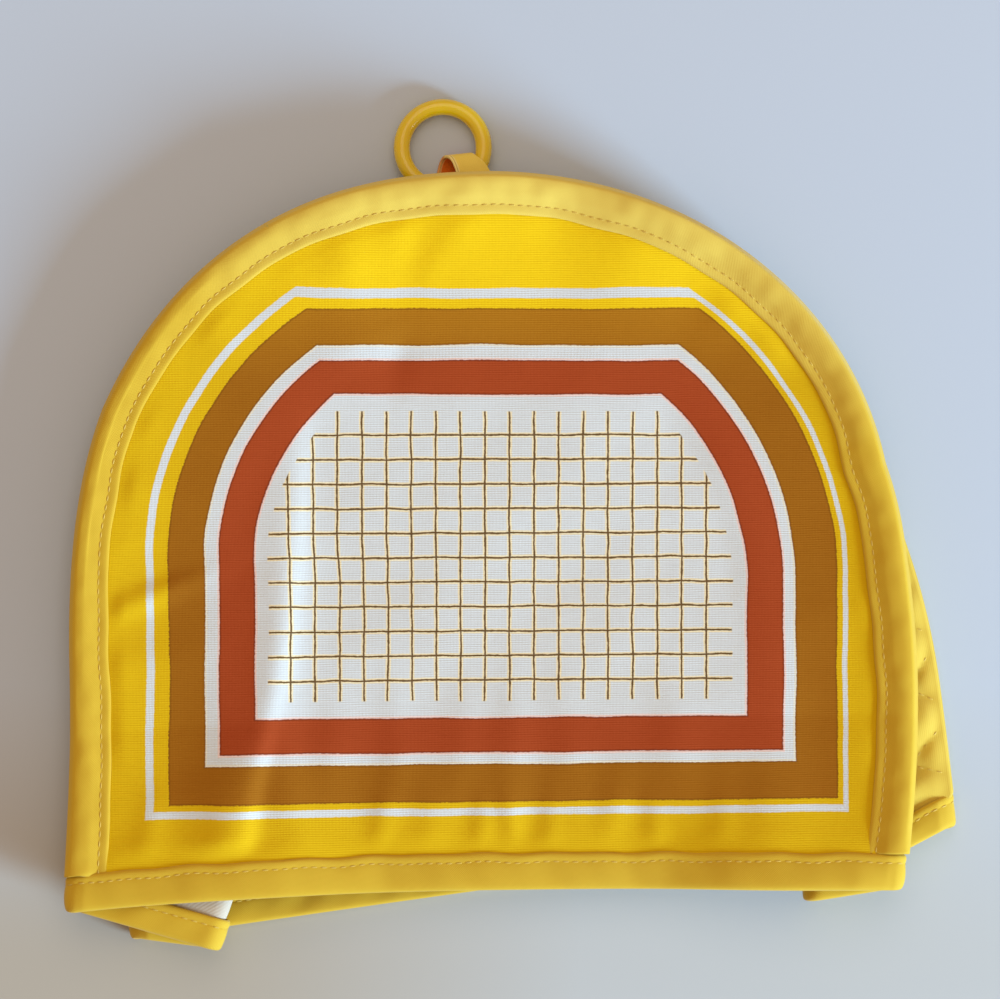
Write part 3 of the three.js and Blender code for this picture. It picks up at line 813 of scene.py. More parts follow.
class SideStrip:
    """The folded side strip: in from the front edge to the fold and out again."""

    turn_steps = (0.44, 0.56)
    step = 0.002

    def rows(self, u, taper):
        """Plan places and levels that carry the strip at shares of the arch."""
        front_run, back_run = self.run_at(u, FRONT), self.run_at(u, BACK)
        to_end = FRONT.to_end(front_run)
        is_left = front_run < FRONT.length / 2

        def stray(column):
            left = read_table(FOLD_LEFT, to_end, "run", column)
            return np.where(is_left, left, read_table(FOLD_RIGHT, to_end, "run", column))

        front_edge, front_way = FRONT.at(front_run), FRONT.inward(front_run)
        back_edge, back_way = BACK.at(back_run), BACK.inward(back_run)
        apart = ((back_edge - front_edge) * front_way).sum(-1)
        first = (GUSSET_DEPTH + apart) / 2 + stray("inward")
        fold = front_edge + front_way * first[..., None] - FRONT.up * stray("droop")[..., None]
        share = ramp_share(to_end)
        high = mix(LEVELS["upper"]["arch"], LEVELS["upper"]["hem"], share)
        low = mix(LEVELS["lower"]["arch"], LEVELS["lower"]["hem"], share)
        radius = ((high - low) / 2)[..., None]
        inset = mix(CORNER_INSET, GUSSET_INSET, fade(taper, to_end))[..., None]
        start, end = front_edge + front_way * inset, back_edge + back_way * inset
        in_way, out_way = unit(fold - start), unit(end - fold)
        return {
            "start": start,
            "turn_in": fold - in_way * radius,
            "turn_out": fold + out_way * radius,
            "end": end,
            "in_way": in_way,
            "out_way": out_way,
            "high": high,
            "low": low,
        }

    def run_at(self, u, panel):
        return mix(CLOTH_INSET, panel.length - CLOTH_INSET, u)

    def middle(self, u, w, taper="strip_corner"):
        row = self.rows(u, taper)
        first, last = self.turn_steps
        w = w[..., None]

        def lift(plan, level):
            return np.concatenate((plan, level[..., None]), -1)

        start, turn_in = lift(row["start"], row["high"]), lift(row["turn_in"], row["high"])
        turn_out, end = lift(row["turn_out"], row["low"]), lift(row["end"], row["low"])
        flat = np.zeros_like(row["high"])
        reach = round_reach(row["high"] - row["low"])[..., None]
        one = turn_in + lift(row["in_way"], flat) * reach
        two = turn_out - lift(row["out_way"], flat) * reach
        turned = bend(turn_in, one, two, turn_out, np.clip((w - first) / (last - first), 0, 1))
        inner = mix(start, turn_in, np.clip(w / first, 0, 1))
        outer = mix(turn_out, end, np.clip((w - last) / (1 - last), 0, 1))
        points = np.where(w < first, inner, np.where(w > last, outer, turned))
        points[..., 2] += shared_wave(points[..., :2])
        return points

    def surface(self, u, w):
        """Points and the unit normals towards the inside of the cover."""
        step = self.step
        points = self.middle(u, w)
        along = self.middle(np.minimum(u + step, 1), w) - self.middle(np.maximum(u - step, 0), w)
        over = self.middle(u, np.minimum(w + step, 1)) - self.middle(u, np.maximum(w - step, 0))
        return points, unit(np.cross(unit(over), unit(along)))


STRIP = SideStrip()


def quilt_lines(run, depth, sizes):
    """Distance to the nearest quilting line on the side strip, and its puff."""
    pitch = sizes.quilt_pitch / MM
    wander = drift("quilt_wander", run, depth)

    def away(place):
        return np.abs((place + pitch / 2) % pitch - pitch / 2) * QUILT["slant"]

    one = away(run + depth + wander - QUILT["falling"])
    two = away(run - depth - wander - QUILT["rising"])
    slope = QUILT["slope"] / (pitch * QUILT["half"])
    puff = smooth(one * slope) * smooth(two * slope)
    return np.minimum(one, two), np.sqrt(puff)


def quilt_seams(sizes):
    """Spots along the quilting lines where the strip shows, as rows of runs and depths."""
    pitch = sizes.quilt_pitch / MM
    step = sizes.stitch_pitch / MM * QUILT["slant"]
    depth = np.arange(QUILT["shows_from"], QUILT["shows_to"], step)
    past_end = int(FRONT.length / pitch) + QUILT["past_ends"] + 1
    for lean, first in ((-1, QUILT["falling"]), (1, QUILT["rising"])):
        for k in range(-QUILT["past_ends"], past_end):
            run = first + k * pitch + lean * depth
            for _ in range(QUILT["settling"]):
                wander = drift("quilt_wander", run, depth)
                run = first + k * pitch + lean * (depth + wander)
            yield run, depth


def quilt_sheet(u, v, sizes):
    points, inside = STRIP.surface(u, v)
    run, depth = mix(0, FRONT.length, u), GUSSET_DEPTH * v
    near, puff = quilt_lines(run, depth, sizes)
    edges = smooth((1 - v) * QUILT["edges"]) * smooth(v * QUILT["edges"])
    ends = fade("quilt_ends", FRONT.to_end(run)) * edges
    ripple = drift("quilt_ripple", run, depth) * np.exp(-near / QUILT_RIPPLE_REACH)
    swell = (puff * sizes.quilt_puff / MM + ripple + drift("quilt_swell", run, depth)) * ends
    offset = QUILT_OFF + np.maximum(swell, QUILT_LEAST_SWELL)
    return points - inside * offset[..., None], np.column_stack((run, depth))


def lining_sheet(u, v):
    points, inside = STRIP.surface(u, v)
    run, depth = mix(0, FRONT.length, u), GUSSET_DEPTH * v
    offset = LINING_OFF + drift("lining", run, depth)
    return points + inside * offset[..., None], np.column_stack((run, depth))


def panel_hem(panel, height, count):
    """The hem of a panel: its places, and the ways in over the cloth."""
    share = np.linspace(0, 1, count)
    x = mix(panel.hem_left + CORNER_INSET, panel.hem_right - CORNER_INSET, share)
    place = panel.place(x, panel.bow(x) + CLOTH_INSET)
    into = np.repeat(panel.up[None], count, 0)
    for k, right in ((0, False), (count - 1, True)):
        place[k] = panel.corner(right, CORNER_INSET, CLOTH_INSET)
        into[k] = unit(panel.corner(right, CORNER_INSET, HEM_SHELF) - place[k])
    near = smooth(np.minimum(share, 1 - share) * HEM_CORNER_SHARE)[:, None]
    ends = np.where((share < 0.5)[:, None], into[:1], into[-1:])
    into = unit(mix(ends, panel.up[None], near))
    level = height(place)
    climb = (height(place + into * HEM_SLOPE_REACH) - level) / HEM_SLOPE_REACH
    return np.column_stack((place, level)), unit(np.column_stack((into, climb)))


def strip_hem(share, step):
    """The end of the side strip, where the mouth's edge crosses it."""
    w = np.linspace(0, 1, HEM_STATIONS["strip"])
    u = np.full(len(w), share)
    point = STRIP.middle(u, w, "strip_corner_at_hem")
    inner = STRIP.middle(u + step, w, "strip_corner_at_hem")
    return point, unit(inner - point)


def hem_lengths(sizes):
    """The four lengths of the mouth's edge: points, ways in, room and tape height."""

    def back_level(place):
        return np.full(len(place), LEVELS["back"]["edge"])

    face, flap = sizes.hem_face / MM, sizes.hem_face_flap / MM
    ramp = BAND_START / FRONT.length
    front, front_in = panel_hem(FRONT, front_height, HEM_STATIONS["front"])
    right, right_in = strip_hem(1.0, -ramp)
    back, back_in = panel_hem(BACK, back_level, HEM_STATIONS["back"])
    left, left_in = strip_hem(0.0, ramp)
    return (
        (front, front_in, PANEL_ROOM, face),
        (right, right_in, GUSSET_ROOM, flap),
        (back[::-1], back_in[::-1], PANEL_ROOM, face),
        (left[::-1], left_in[::-1], GUSSET_ROOM, flap),
    )


def level_way(before, after):
    return unit((after - before) * np.array((1, 1, 0)))


def hem_stations(sizes):
    """The mouth's edge all round, with its corners turned."""
    lengths = hem_lengths(sizes)
    near, far = CORNER_STEPS["near"], CORNER_STEPS["far"]
    steps = HEM_STATIONS["corner"]
    rows = []
    for k, (points, into, room, face) in enumerate(lengths):
        start_way = level_way(points[0], points[1])
        end_way = level_way(points[-2], points[-1])
        rows.append((points[0] - start_way * far, into[0], CORNER_ROOM, face))
        rows.append((points[0] - start_way * near, into[0], room, face))
        rows.extend((point, way, room, face) for point, way in zip(points, into))
        rows.append((points[-1] + end_way * near, into[-1], room, face))
        rows.append((points[-1] + end_way * far, into[-1], CORNER_ROOM, face))

        next_points, next_into, _, next_face = lengths[(k + 1) % len(lengths)]
        next_way = level_way(next_points[0], next_points[1])
        begin, finish = points[-1] + end_way * far, next_points[0] - next_way * far
        reach = round_reach(abs(begin[2] - finish[2]))
        one, two = begin + end_way * reach, finish - next_way * reach
        for step in range(1, steps):
            t = step / steps
            point, way = bend(begin, one, two, finish, t), unit(mix(into[-1], next_into[0], t))
            rows.append((point, way, CORNER_ROOM, mix(face, next_face, t)))
    points, into, room, face = (np.array(column) for column in zip(*rows))
    gaps = np.linalg.norm(np.roll(points, -1, 0) - points, axis=1)

    def evened(values, reach=2):
        rolled = (np.roll(values, shift, 0) for shift in range(-reach, reach + 1))
        return sum(rolled) / (2 * reach + 1)

    way = np.roll(points, -1, 0) - np.roll(points, 1, 0)
    return {
        "points": points,
        "into": into,
        "outside": unit(evened(unit(np.cross(way, into)))),
        "room": evened(room),
        "face": face,
        "along": np.concatenate(([0], np.cumsum(gaps)[:-1])),
        "total": gaps.sum(),
    }


def hem_sheet(u, v, path):
    spot = u * path["total"]
    along = np.concatenate((path["along"], [path["total"]]))

    def read(name):
        values = np.concatenate((path[name], path[name][:1]))
        if values.ndim == 1:
            return np.interp(spot, along, values)
        return np.stack([np.interp(spot, along, values[:, k]) for k in range(3)], -1)

    def wave(row, lean=0.0):
        return np.sin(2 * np.pi * u * row["count"] + row["phase"] + lean)

    point, into, outside = read("points"), unit(read("into")), unit(read("outside"))
    deep, share, rooms, off = section_at(HEM_SECTION, v)
    depth = deep + share * read("face")
    side = rooms * read("room") + off
    middle = np.sin(np.pi * np.clip(depth / HEM_FACE, 0, 1))
    swell = sum(row["high"] * wave(row, depth * row["lean"]) for row in HEM_WAVES)
    side = side + np.sign(side) * middle * HEM_WAVE["side"] * swell
    depth = depth + share * HEM_WAVE["edge"] * sum(wave(row) for row in HEM_EDGE_WAVES)
    points = point + into * (depth - CLOTH_INSET)[:, None] + outside * side[:, None]
    points[:, 2] = np.maximum(points[:, 2], TABLE_GAP)
    return points, np.column_stack((spot, depth))


def tab_sheet(u, v):
    rows = np.array([list(row.values()) for row in TAB])
    y, z, left, right, slope = through(rows, u).T
    x = mix(left, right, v)
    y = y + slope * (x - (left + right) / 2)
    edge = np.minimum(v, 1 - v) * (right - left)
    z = z + drift("tab", x, y) * fade("tab_edge", edge)
    steps = np.hypot(np.diff(rows[:, 0]), np.diff(rows[:, 1]))
    length = np.concatenate(([0], np.cumsum(steps)))
    run = np.interp(u, np.linspace(0, 1, len(rows)), length - length[TAB_FOLD])
    return np.column_stack((x, y, z)), np.column_stack((run, x - left))


# ----------------------------------------------------------- objects in metres


def plan_origin():
    """Where the drawing's zero lies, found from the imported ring."""
    low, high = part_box("hang_ring")
    middle = (low + high) / 2
    return np.array((RING["x"] - middle.x / MM, RING["y"] - middle.y / MM, 0.0))


ORIGIN = plan_origin()


def to_frame(points):
    return (points - ORIGIN) * MM


def density(count):
    return count


def mesh_from(bm, name):
    mesh = bpy.data.meshes.new(name)
    bm.to_mesh(mesh)
    bm.free()
    return mesh


def link(name, mesh, material):
    piece = bpy.data.objects.new(name, mesh)
    bpy.context.scene.collection.objects.link(piece)
    mesh.materials.append(material)
    mesh.polygons.foreach_set("use_smooth", [True] * len(mesh.polygons))
    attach(piece, "root")
    return piece


def sheet_piece(name, shape, material, thick, offset=0.0, loop=False):
    """A thin sheet: a grid of faces whose points are moved to their places."""
    columns, rows = (density(count) for count in GRIDS[name])
    bm = bmesh.new()
    bmesh.ops.create_grid(bm, x_segments=columns, y_segments=rows, size=0.5)
    mesh = mesh_from(bm, name)
    spots = np.empty(len(mesh.vertices) * 3)
    mesh.vertices.foreach_get("co", spots)
    spots = np.clip(spots.reshape(-1, 3) + 0.5, 0, 1)
    points, flat = shape(spots[:, 0], spots[:, 1])
    mesh.vertices.foreach_set("co", to_frame(points).astype(np.float32).ravel())
    corners = np.empty(len(mesh.loops), np.int32)
    mesh.loops.foreach_get("vertex_index", corners)
    layer = mesh.uv_layers.new(name="cloth")
    layer.data.foreach_set("uv", flat[corners].astype(np.float32).ravel())
    if loop:
        bm = bmesh.new()
        bm.from_mesh(mesh)
        bmesh.ops.remove_doubles(bm, verts=bm.verts, dist=0.02 * MM)
        bm.to_mesh(mesh)
        bm.free()
    mesh.update()
    piece = link(name, mesh, material)
    thickness = piece.modifiers.new("Cloth thickness", "SOLIDIFY")
    thickness.thickness = thick
    thickness.offset = offset
    thickness.use_even_offset = False
    return piece


def on_sheet(shape, u, v, side=1):
    """Places, ways along and outward normals at spots on a sheet, in millimetres."""
    near, wide = ON_SHEET["near"], ON_SHEET["wide"]
    points = shape(u, v)[0]
    along = shape(np.clip(u + near, 0, 1), v)[0] - shape(np.clip(u - near, 0, 1), v)[0]
    over = shape(u, np.clip(v + wide, 0, 1))[0] - shape(u, np.clip(v - wide, 0, 1))[0]
    along = unit(along)
    return points, along, unit(np.cross(along, over)) * side


def seam_spots(length, sizes):
    """Shares of the way along a seam at which its stitches lie."""
    count = int(length / (sizes.stitch_pitch / MM))
    return (np.arange(count) + 0.5) / count


def stitch_piece(name, points, along, normals, sizes, lift):
    """A row of stitches: a short bead of thread at each place, off the cloth by the lift."""
    bm = bmesh.new()
    size = (sizes.stitch_length / 2, sizes.thread / 2, sizes.thread * STITCH["flat"])
    stand = lift / MM + STITCH["clear"]
    for point, way, normal in zip(points, along, normals):
        place = Matrix.Identity(4)
        for k, axis in enumerate((way, np.cross(normal, way), normal)):
            place.col[k].xyz = axis * size[k]
        place.translation = to_frame(point + normal * stand)
        bmesh.ops.create_uvsphere(bm, u_segments=8, v_segments=5, radius=1, matrix=place)
    bmesh.ops.recalc_face_normals(bm, faces=bm.faces)
    return link(name, mesh_from(bm, name), cloth_material("sewing thread"))


# ------------------------------------------------------------------- materials

# Noises, by their scale for each millimetre.
SPECKLES = named(
    "Scale Detail Roughness",
    bend=(0.045, 1.0, 0.5),
    jitter=(1.1, 1.0, 0.5),
    wear=(0.02, 2.0, 0.5),
    ragged=(2.2, 2.0, 0.6),
    grid_bend=(0.09, 2.0, 0.5),
    ink=(0.5, 3.0, 0.6),
    print_slub=(0.35, 3.0, 0.6),
    slow_dye=(0.05, 2.0, 0.5),
    slub=(0.5, 3.0, 0.6),
    cloud=(0.09, 2.0, 0.5),
    scuff=(1.6, 4.0, 0.6),
    twist=(2.4, 2.0, 0.5),
)
# Each woven cloth: distance between its ribs and between its threads, slant of the
# ribs in degrees, depth of its bump in metres, sheen, roughness, how far its slubs
# change that, and gloss.
WEAVES = named(
    "rib thread slant depth sheen rough slub_rough gloss",
    print=(0.72, 0.46, 0, 0.00007, 0.04, 0.8, 0.1, 0.12),
    plain=(0.72, 0.46, 0, 0.00006, 0.05, 0.76, 0.12, 0.15),
    tape=(0.5, 0.5, 45, 0.00004, 0.14, 0.76, 0.12, 0.15),
    quilted=(0.5, 0.45, 0, 0.00002, 0.3, 0.76, 0.12, 0.15),
    lining=(0.8, 0.5, 38, 0.00003, 0.05, 0.76, 0.12, 0.15),
    tab=(0.55, 0.55, 45, 0.00005, 0.2, 0.76, 0.12, 0.15),
)
# How high ribs and threads stand, and how much of a thread shows between ribs.
WEAVE_RELIEF = {"ribs": 0.5, "threads": 0.3, "between": 0.7}
# How much each unevenness tells in the tone of a dyed cloth and of the print.
TONES = named("slow slub weave level", dyed=(0.24, 0.144, 0.05, 0.3), print=(0, 0.16, 0.07, 0.05))
DYED_CASTS = {"light": 1.1, "dark": 0.78}
DYED_WOBBLE = 0.8
PRINT_WOBBLE = {"bend": 0.9, "jitter": 0.12}
PRINT_SLUB_HEIGHT = 0.8
# The soft edge of each kind of printed mark.
SOFT = {"border": 0.28, "rim": 0.35, "halo": 0.25, "fringe": 0.25, "stroke": 0.2, "field": 0.3}
# How deep the rims and halos of the borders are, and how strongly they show.
BORDER_MARKS = named(
    "deep strength",
    brown_rim=(0.55, 0.5),
    brown_halo=(0.6, 0.4),
    rust_halo=(0.6, 0.75),
    rust_rim=(0.5, 0.65),
)
# How far the printed edges stray from straight, in a slow and a quick noise.
EDGE_STRAY = {"bend": 1.4, "across": 0.4, "up": 0.35, "ragged": 0.7}
GRID_STRAY = {"bend": 1.1, "jitter": 0.25}
GRID_MARKS = {"fringe": 0.5, "fringe_strength": 0.8, "ink": 0.3, "strength": 0.95}
DARK_DYE = {"worn": 0.9, "brown_rim": 0.5, "rust_rim": 0.4, "grid": 0.6}
WEAVE_SHADE = (0.62, 0.58, 0.55, 1)
# Where a painted sheen lightens the band's tape over the top of the arch, as shares of the arch.
PAINTED_SHEEN = {"middle": 0.55, "reach": 0.22, "strength": 0.5}
# The tape of the hanging loop: painted shade inside the loop, a painted highlight along
# its doubled left edge, and painted shade in the crease along that edge.
TAB_MARKS = named(
    "at soft strength",
    inside=(0.6, 0.8, 0.5),
    selvage=(1.3, 0.2, 0.7),
    crease=(0.75, 0.12, 0.6),
)
# How wide the painted crease shade is, and how dark.
TAB_CREASE_SHADE = {"half": 0.16, "dark": 0.45}
RING_CLOUD = {"contrast": 0.8, "level": 0.4, "dark": 0.84}
RING_FINISH = {"rough": 0.22, "scuff": 0.12, "depth": 0.00004, "bump": 0.3}
THREAD_DARK = 0.7
# The table's painted shade, against distance in front of the middle and to the left of it.
FLOOR_TONES = {"near": (80, -0.65), "left": (110, 0.2), "soft": 0.3}


def linear(colour):
    """A colour as it is written in a paint box, made linear for the shader."""
    bright = [c / 12.92 if c <= 0.04045 else ((c + 0.055) / 1.055) ** 2.4 for c in colour[:3]]
    return (*bright, 1.0)


def shade(colour, level):
    """A darker or lighter cast of a plain colour."""
    return tuple(min(c * level, 1.0) for c in colour[:3]) + (1.0,)


class Flow:
    """A socket in a material, so that sums on it add their own Math nodes."""

    def __init__(self, socket):
        self.socket = socket

    @staticmethod
    def node(tree, kind, settings=None, inputs=None, output=0):
        made = tree.nodes.new(kind)
        for key, value in (settings or {}).items():
            setattr(made, key, value)
        for key, value in (inputs or {}).items():
            if isinstance(value, Flow):
                tree.links.new(value.socket, made.inputs[key])
            else:
                made.inputs[key].default_value = value
        return Flow(made.outputs[output]) if len(made.outputs) else None

    @property
    def tree(self):
        return self.socket.id_data

    def parts(self, kind):
        """The first two parts of a vector or a colour."""
        outputs = Flow.node(self.tree, kind, None, {0: self}).socket.node.outputs
        return Flow(outputs[0]), Flow(outputs[1])

    def sum(self, operation, *others, clamp=False):
        settings = {"operation": operation, "use_clamp": clamp}
        return Flow.node(self.tree, "ShaderNodeMath", settings, dict(enumerate((self, *others))))

    def __add__(self, other):
        return self.sum("ADD", other)

    def __sub__(self, other):
        return self.sum("SUBTRACT", other)

    def __mul__(self, other):
        return self.sum("MULTIPLY", other)

    def __truediv__(self, other):
        return self.sum("DIVIDE", other)

    __radd__ = __add__
    __rmul__ = __mul__

    def __rsub__(self, other):
        return self * -1.0 + other

    def __neg__(self):
        return self * -1.0

    def __abs__(self):
        return self.sum("ABSOLUTE")

    def least(self, *others):
        return self if not others else self.sum("MINIMUM", others[0]).least(*others[1:])

    def most(self, other):
        return self.sum("MAXIMUM", other)

    def root(self):
        return self.sum("SQRT")

    def sine(self):
        return self.sum("SINE")

    def held(self):
        """Kept between 0 and 1."""
        return self.sum("ADD", 0.0, clamp=True)

    def within(self, soft):
        """A mask that is 1 where the distance is above zero, with a soft edge."""
        return (self / soft + 0.5).held()

    def paint(self, below, above):
        """Lays one colour over another, this being the mask."""
        settings = {"data_type": "RGBA", "blend_type": "MIX"}
        return Flow.node(self.tree, "ShaderNodeMix", settings, {0: self, 6: below, 7: above}, 2)


def new_material(name):
    material = bpy.data.materials.new(name)
    material.use_nodes = True
    material.node_tree.nodes.clear()
    return material, material.node_tree


def flat_place(tree):
    """The cloth's own flat place, in millimetres, as a vector and as x and y."""
    uv = Flow.node(tree, "ShaderNodeUVMap", {"uv_map": "cloth"})
    return uv, *uv.parts("ShaderNodeSeparateXYZ")


def object_place(tree):
    """A place on the piece, in millimetres."""
    place = Flow.node(tree, "ShaderNodeTexCoord", None, None, 3)
    return Flow.node(tree, "ShaderNodeVectorMath", {"operation": "SCALE"}, {0: place, 3: 1 / MM})


def noise(tree, place, name, output):
    inputs = {"Vector": place, **SPECKLES[name]}
    return Flow.node(tree, "ShaderNodeTexNoise", {"noise_dimensions": "3D"}, inputs, output)


def speckle(tree, place, name):
    """Noise about its middle."""
    return noise(tree, place, name, 0) - 0.5


def two_speckles(tree, place, name):
    """Two noises about their middles, for the two ways across a cloth."""
    one, two = noise(tree, place, name, 1).parts("ShaderNodeSeparateColor")
    return one - 0.5, two - 0.5


def finish(tree, **inputs):
    """The shader and output of a material, its inputs named with underscores."""
    inputs = {name.replace("_", " "): value for name, value in inputs.items()}
    shader = Flow.node(tree, "ShaderNodeBsdfPrincipled", None, inputs)
    Flow.node(tree, "ShaderNodeOutputMaterial", None, {0: shader})


def bumped(tree, height, depth, strength=1.0):
    inputs = {"Strength": strength, "Distance": depth, "Height": height}
    return Flow.node(tree, "ShaderNodeBump", None, inputs)


def finish_cloth(tree, colour, height, slub, weave):
    finish(
        tree, Base_Color=colour, Roughness=slub * weave["slub_rough"] + weave["rough"],
        Normal=bumped(tree, height, weave["depth"]), Sheen_Weight=weave["sheen"],
        Sheen_Roughness=0.5, Sheen_Tint=(1, 1, 1, 1), Specular_IOR_Level=weave["gloss"],
    )


def weave_height(x, y, weave, wobble):
    """Ribs along the width, crossed by finer threads."""
    ribs = ((y + wobble) * (2 * math.pi / weave["rib"])).sine()
    threads = ((x + wobble) * (2 * math.pi / weave["thread"])).sine()
    between = ribs * 0.5 + WEAVE_RELIEF["between"]
    return ribs * WEAVE_RELIEF["ribs"] + threads * WEAVE_RELIEF["threads"] * between


def border_sides(x, y):
    """How far a place lies inside the printed borders, from each of their sides."""

    def shoulder(name, across):
        row = SHOULDERS[name]
        across, up = across(x - row["x"]), (y - row["y"]).most(0.0)
        return row["radius"] - (across * across + up * up).root()

    return {
        "left": shoulder("left", lambda away: away.least(0.0)),
        "right": shoulder("right", lambda away: away.most(0.0)),
        "top": PRINT_TOP - y,
        "bottom": y - PRINT_BOTTOM,
    }


def lit_top_share(x, y):
    """Where the print is painted lighter towards the top, as a painted highlight."""
    up = ((y - PRINT_LIT_TOP["from"]) / PRINT_LIT_TOP["over"]).held()
    return up * ((x - PRINT_LIT_TOP["left"]) / PRINT_LIT_TOP["over"]).held()


def printed_borders(tree, uv, dyes, masks, lit_top):
    """The ground and the nested borders. Each mask is how far inside an edge a place lies."""
    line, gap, brown, white, rust, field = masks
    soft, halo_soft, marks = SOFT["border"], SOFT["halo"], BORDER_MARKS
    wear = speckle(tree, uv, "wear") * 0.5 + 0.5
    ground = wear.paint(dyes["yellow"], shade(dyes["yellow"], DARK_DYE["worn"]))
    # Painted highlight: the ground is painted lighter towards the top.
    ground = lit_top.paint(ground, dyes["fresh_yellow"])
    colour = (line.within(soft) * (-gap).within(soft)).paint(ground, dyes["white"])

    def rim(name, inside):
        return (marks[name]["deep"] - inside).within(SOFT["rim"]) * marks[name]["strength"]

    ragged = speckle(tree, uv, "ragged") * EDGE_STRAY["ragged"]
    # Painted highlight: the brown is painted lighter towards the top.
    brown_dye = lit_top.paint(dyes["brown"], dyes["fresh_brown"])
    brown_rim = rim("brown_rim", brown.least(-white))
    brown_dye = brown_rim.paint(brown_dye, shade(dyes["brown"], DARK_DYE["brown_rim"]))
    colour = (brown + ragged).within(soft).paint(colour, brown_dye)
    colour = white.within(soft).paint(colour, dyes["white"])
    brown_halo = white.within(halo_soft) * (marks["brown_halo"]["deep"] - white).within(halo_soft)
    colour = (brown_halo * marks["brown_halo"]["strength"]).paint(colour, dyes["halo"])

    deep = marks["rust_halo"]["deep"]
    rust_halo = (rust + deep).within(halo_soft) * (deep - field).within(halo_soft)
    colour = (rust_halo * marks["rust_halo"]["strength"]).paint(colour, dyes["blush"])
    rust_rim = rim("rust_rim", rust.least(-field))
    rust_dye = rust_rim.paint(dyes["rust"], shade(dyes["rust"], DARK_DYE["rust_rim"]))
    return (rust.within(soft) * (-field).within(soft)).paint(colour, rust_dye)


def windowpane(tree, uv, x, y, dyes, prints, room, colour):
    """The grid of fine lines, laid over the colour where the room round it is above zero."""
    pitch_x, pitch_y = prints.pane_width / MM, prints.pane_height / MM
    left, bottom = prints.pane_left / MM, prints.pane_bottom / MM
    upright = (x - left).sum("PINGPONG", pitch_x / 2)
    level = (y - bottom).sum("PINGPONG", pitch_y / 2)
    past_left, past_low = left - x, bottom - y
    past_right = -past_left - pitch_x * (prints.uprights - 1)
    past_high = -past_low - pitch_y * (prints.levels - 1)
    upright = upright.most(past_left.most(past_right))
    nearest = upright.least(level.most(past_low.most(past_high)))
    ink = speckle(tree, uv, "ink")
    half = prints.pane_line / MM / 2
    inside = room.within(SOFT["field"])
    fringe = (half + GRID_MARKS["fringe"] - nearest).within(SOFT["fringe"]) * inside
    colour = (fringe * GRID_MARKS["fringe_strength"]).paint(colour, dyes["halo"])
    stroke = (half + ink * GRID_MARKS["ink"] - nearest).within(SOFT["stroke"]) * inside
    tone = (ink * 1.6 + 0.5).held().paint(dyes["grid"], shade(dyes["grid"], DARK_DYE["grid"]))
    return (stroke * GRID_MARKS["strength"]).paint(colour, tone)


def printed_cotton(name, weave, dyes, prints):
    """The front panel: nested borders and a windowpane grid on ribbed cotton."""
    material, tree = new_material(name)
    uv, x, y = flat_place(tree)
    bend_x, bend_y = two_speckles(tree, uv, "bend")
    jitter_x, jitter_y = two_speckles(tree, uv, "jitter")
    border_x = x + bend_x * EDGE_STRAY["bend"] + jitter_x * EDGE_STRAY["across"]
    border_y = y + bend_y * EDGE_STRAY["bend"] + jitter_y * EDGE_STRAY["up"]
    sides = border_sides(border_x, border_y)

    def inside(edge, strays):
        """How far a place lies inside one edge of the borders."""
        first, *others = (side - float(edge + strays[key]) for key, side in sides.items())
        return first.least(*others)

    widths = (0, prints.line, prints.gap, prints.brown, prints.white, prints.rust)
    edges = np.cumsum([width / MM for width in widths])
    names = ("line", "gap", "brown", "white", "rust", "field")
    masks = [
        inside(edge, {key: row[name] for key, row in PRINT_STRAYS.items()})
        for name, edge in zip(names, edges)
    ]
    colour = printed_borders(tree, uv, dyes, masks, lit_top_share(x, y))

    grid_x, grid_y = two_speckles(tree, uv, "grid_bend")
    grid_x = x + grid_x * GRID_STRAY["bend"] + jitter_x * GRID_STRAY["jitter"]
    grid_y = y + grid_y * GRID_STRAY["bend"] + jitter_y * GRID_STRAY["jitter"]
    room = inside(edges[-1], FIELD_MARGINS)
    colour = windowpane(tree, uv, grid_x, grid_y, dyes, prints, room, colour)

    wobble = bend_x * PRINT_WOBBLE["bend"] + jitter_x * PRINT_WOBBLE["jitter"]
    height = weave_height(x, y, weave, wobble)
    slub, tones = speckle(tree, uv, "print_slub"), TONES["print"]
    tone = (height * tones["weave"] + slub * tones["slub"] + tones["level"]).held()
    full = Flow.node(tree, "ShaderNodeMix", {"data_type": "RGBA", "blend_type": "MULTIPLY"},
                     {0: 1.0, 6: colour, 7: WEAVE_SHADE}, 2)
    colour = tone.paint(colour, full)
    finish_cloth(tree, colour, height + slub * PRINT_SLUB_HEIGHT, slub, weave)
    return material


def plain_cloth(name, weave, dye, trim=None):
    """A plain dyed cloth, its ribs turned by the slant of its weave."""
    material, tree = new_material(name)
    uv, x, y = flat_place(tree)
    turn = math.radians(weave["slant"])
    across = x * math.cos(turn) + y * math.sin(turn)
    up = y * math.cos(turn) - x * math.sin(turn)
    slow, slub = speckle(tree, uv, "slow_dye"), speckle(tree, uv, "slub")
    height, tones = weave_height(across, up, weave, slow * DYED_WOBBLE), TONES["dyed"]
    level = slow * tones["slow"] + slub * tones["slub"] + height * tones["weave"]
    level = (level + tones["level"]).held()
    tone = level.paint(shade(dye, DYED_CASTS["light"]), shade(dye, DYED_CASTS["dark"]))
    if trim:
        tone = trim(x, y, tone)
    finish_cloth(tree, tone, height + slub, slub, weave)
    return material


def sheened_trim(dyes):
    """The band's tape, with a painted sheen where it runs over the top of the arch."""
    middle, reach = FRONT.length * PAINTED_SHEEN["middle"], FRONT.length * PAINTED_SHEEN["reach"]

    def trim(run, across, tone):
        away = (run - middle) / reach
        faded = (1.0 - away * away).most(0.0)
        # Painted sheen: the tape is painted paler over the top of the arch.
        return (faded * PAINTED_SHEEN["strength"]).paint(tone, dyes["faded"])

    return trim


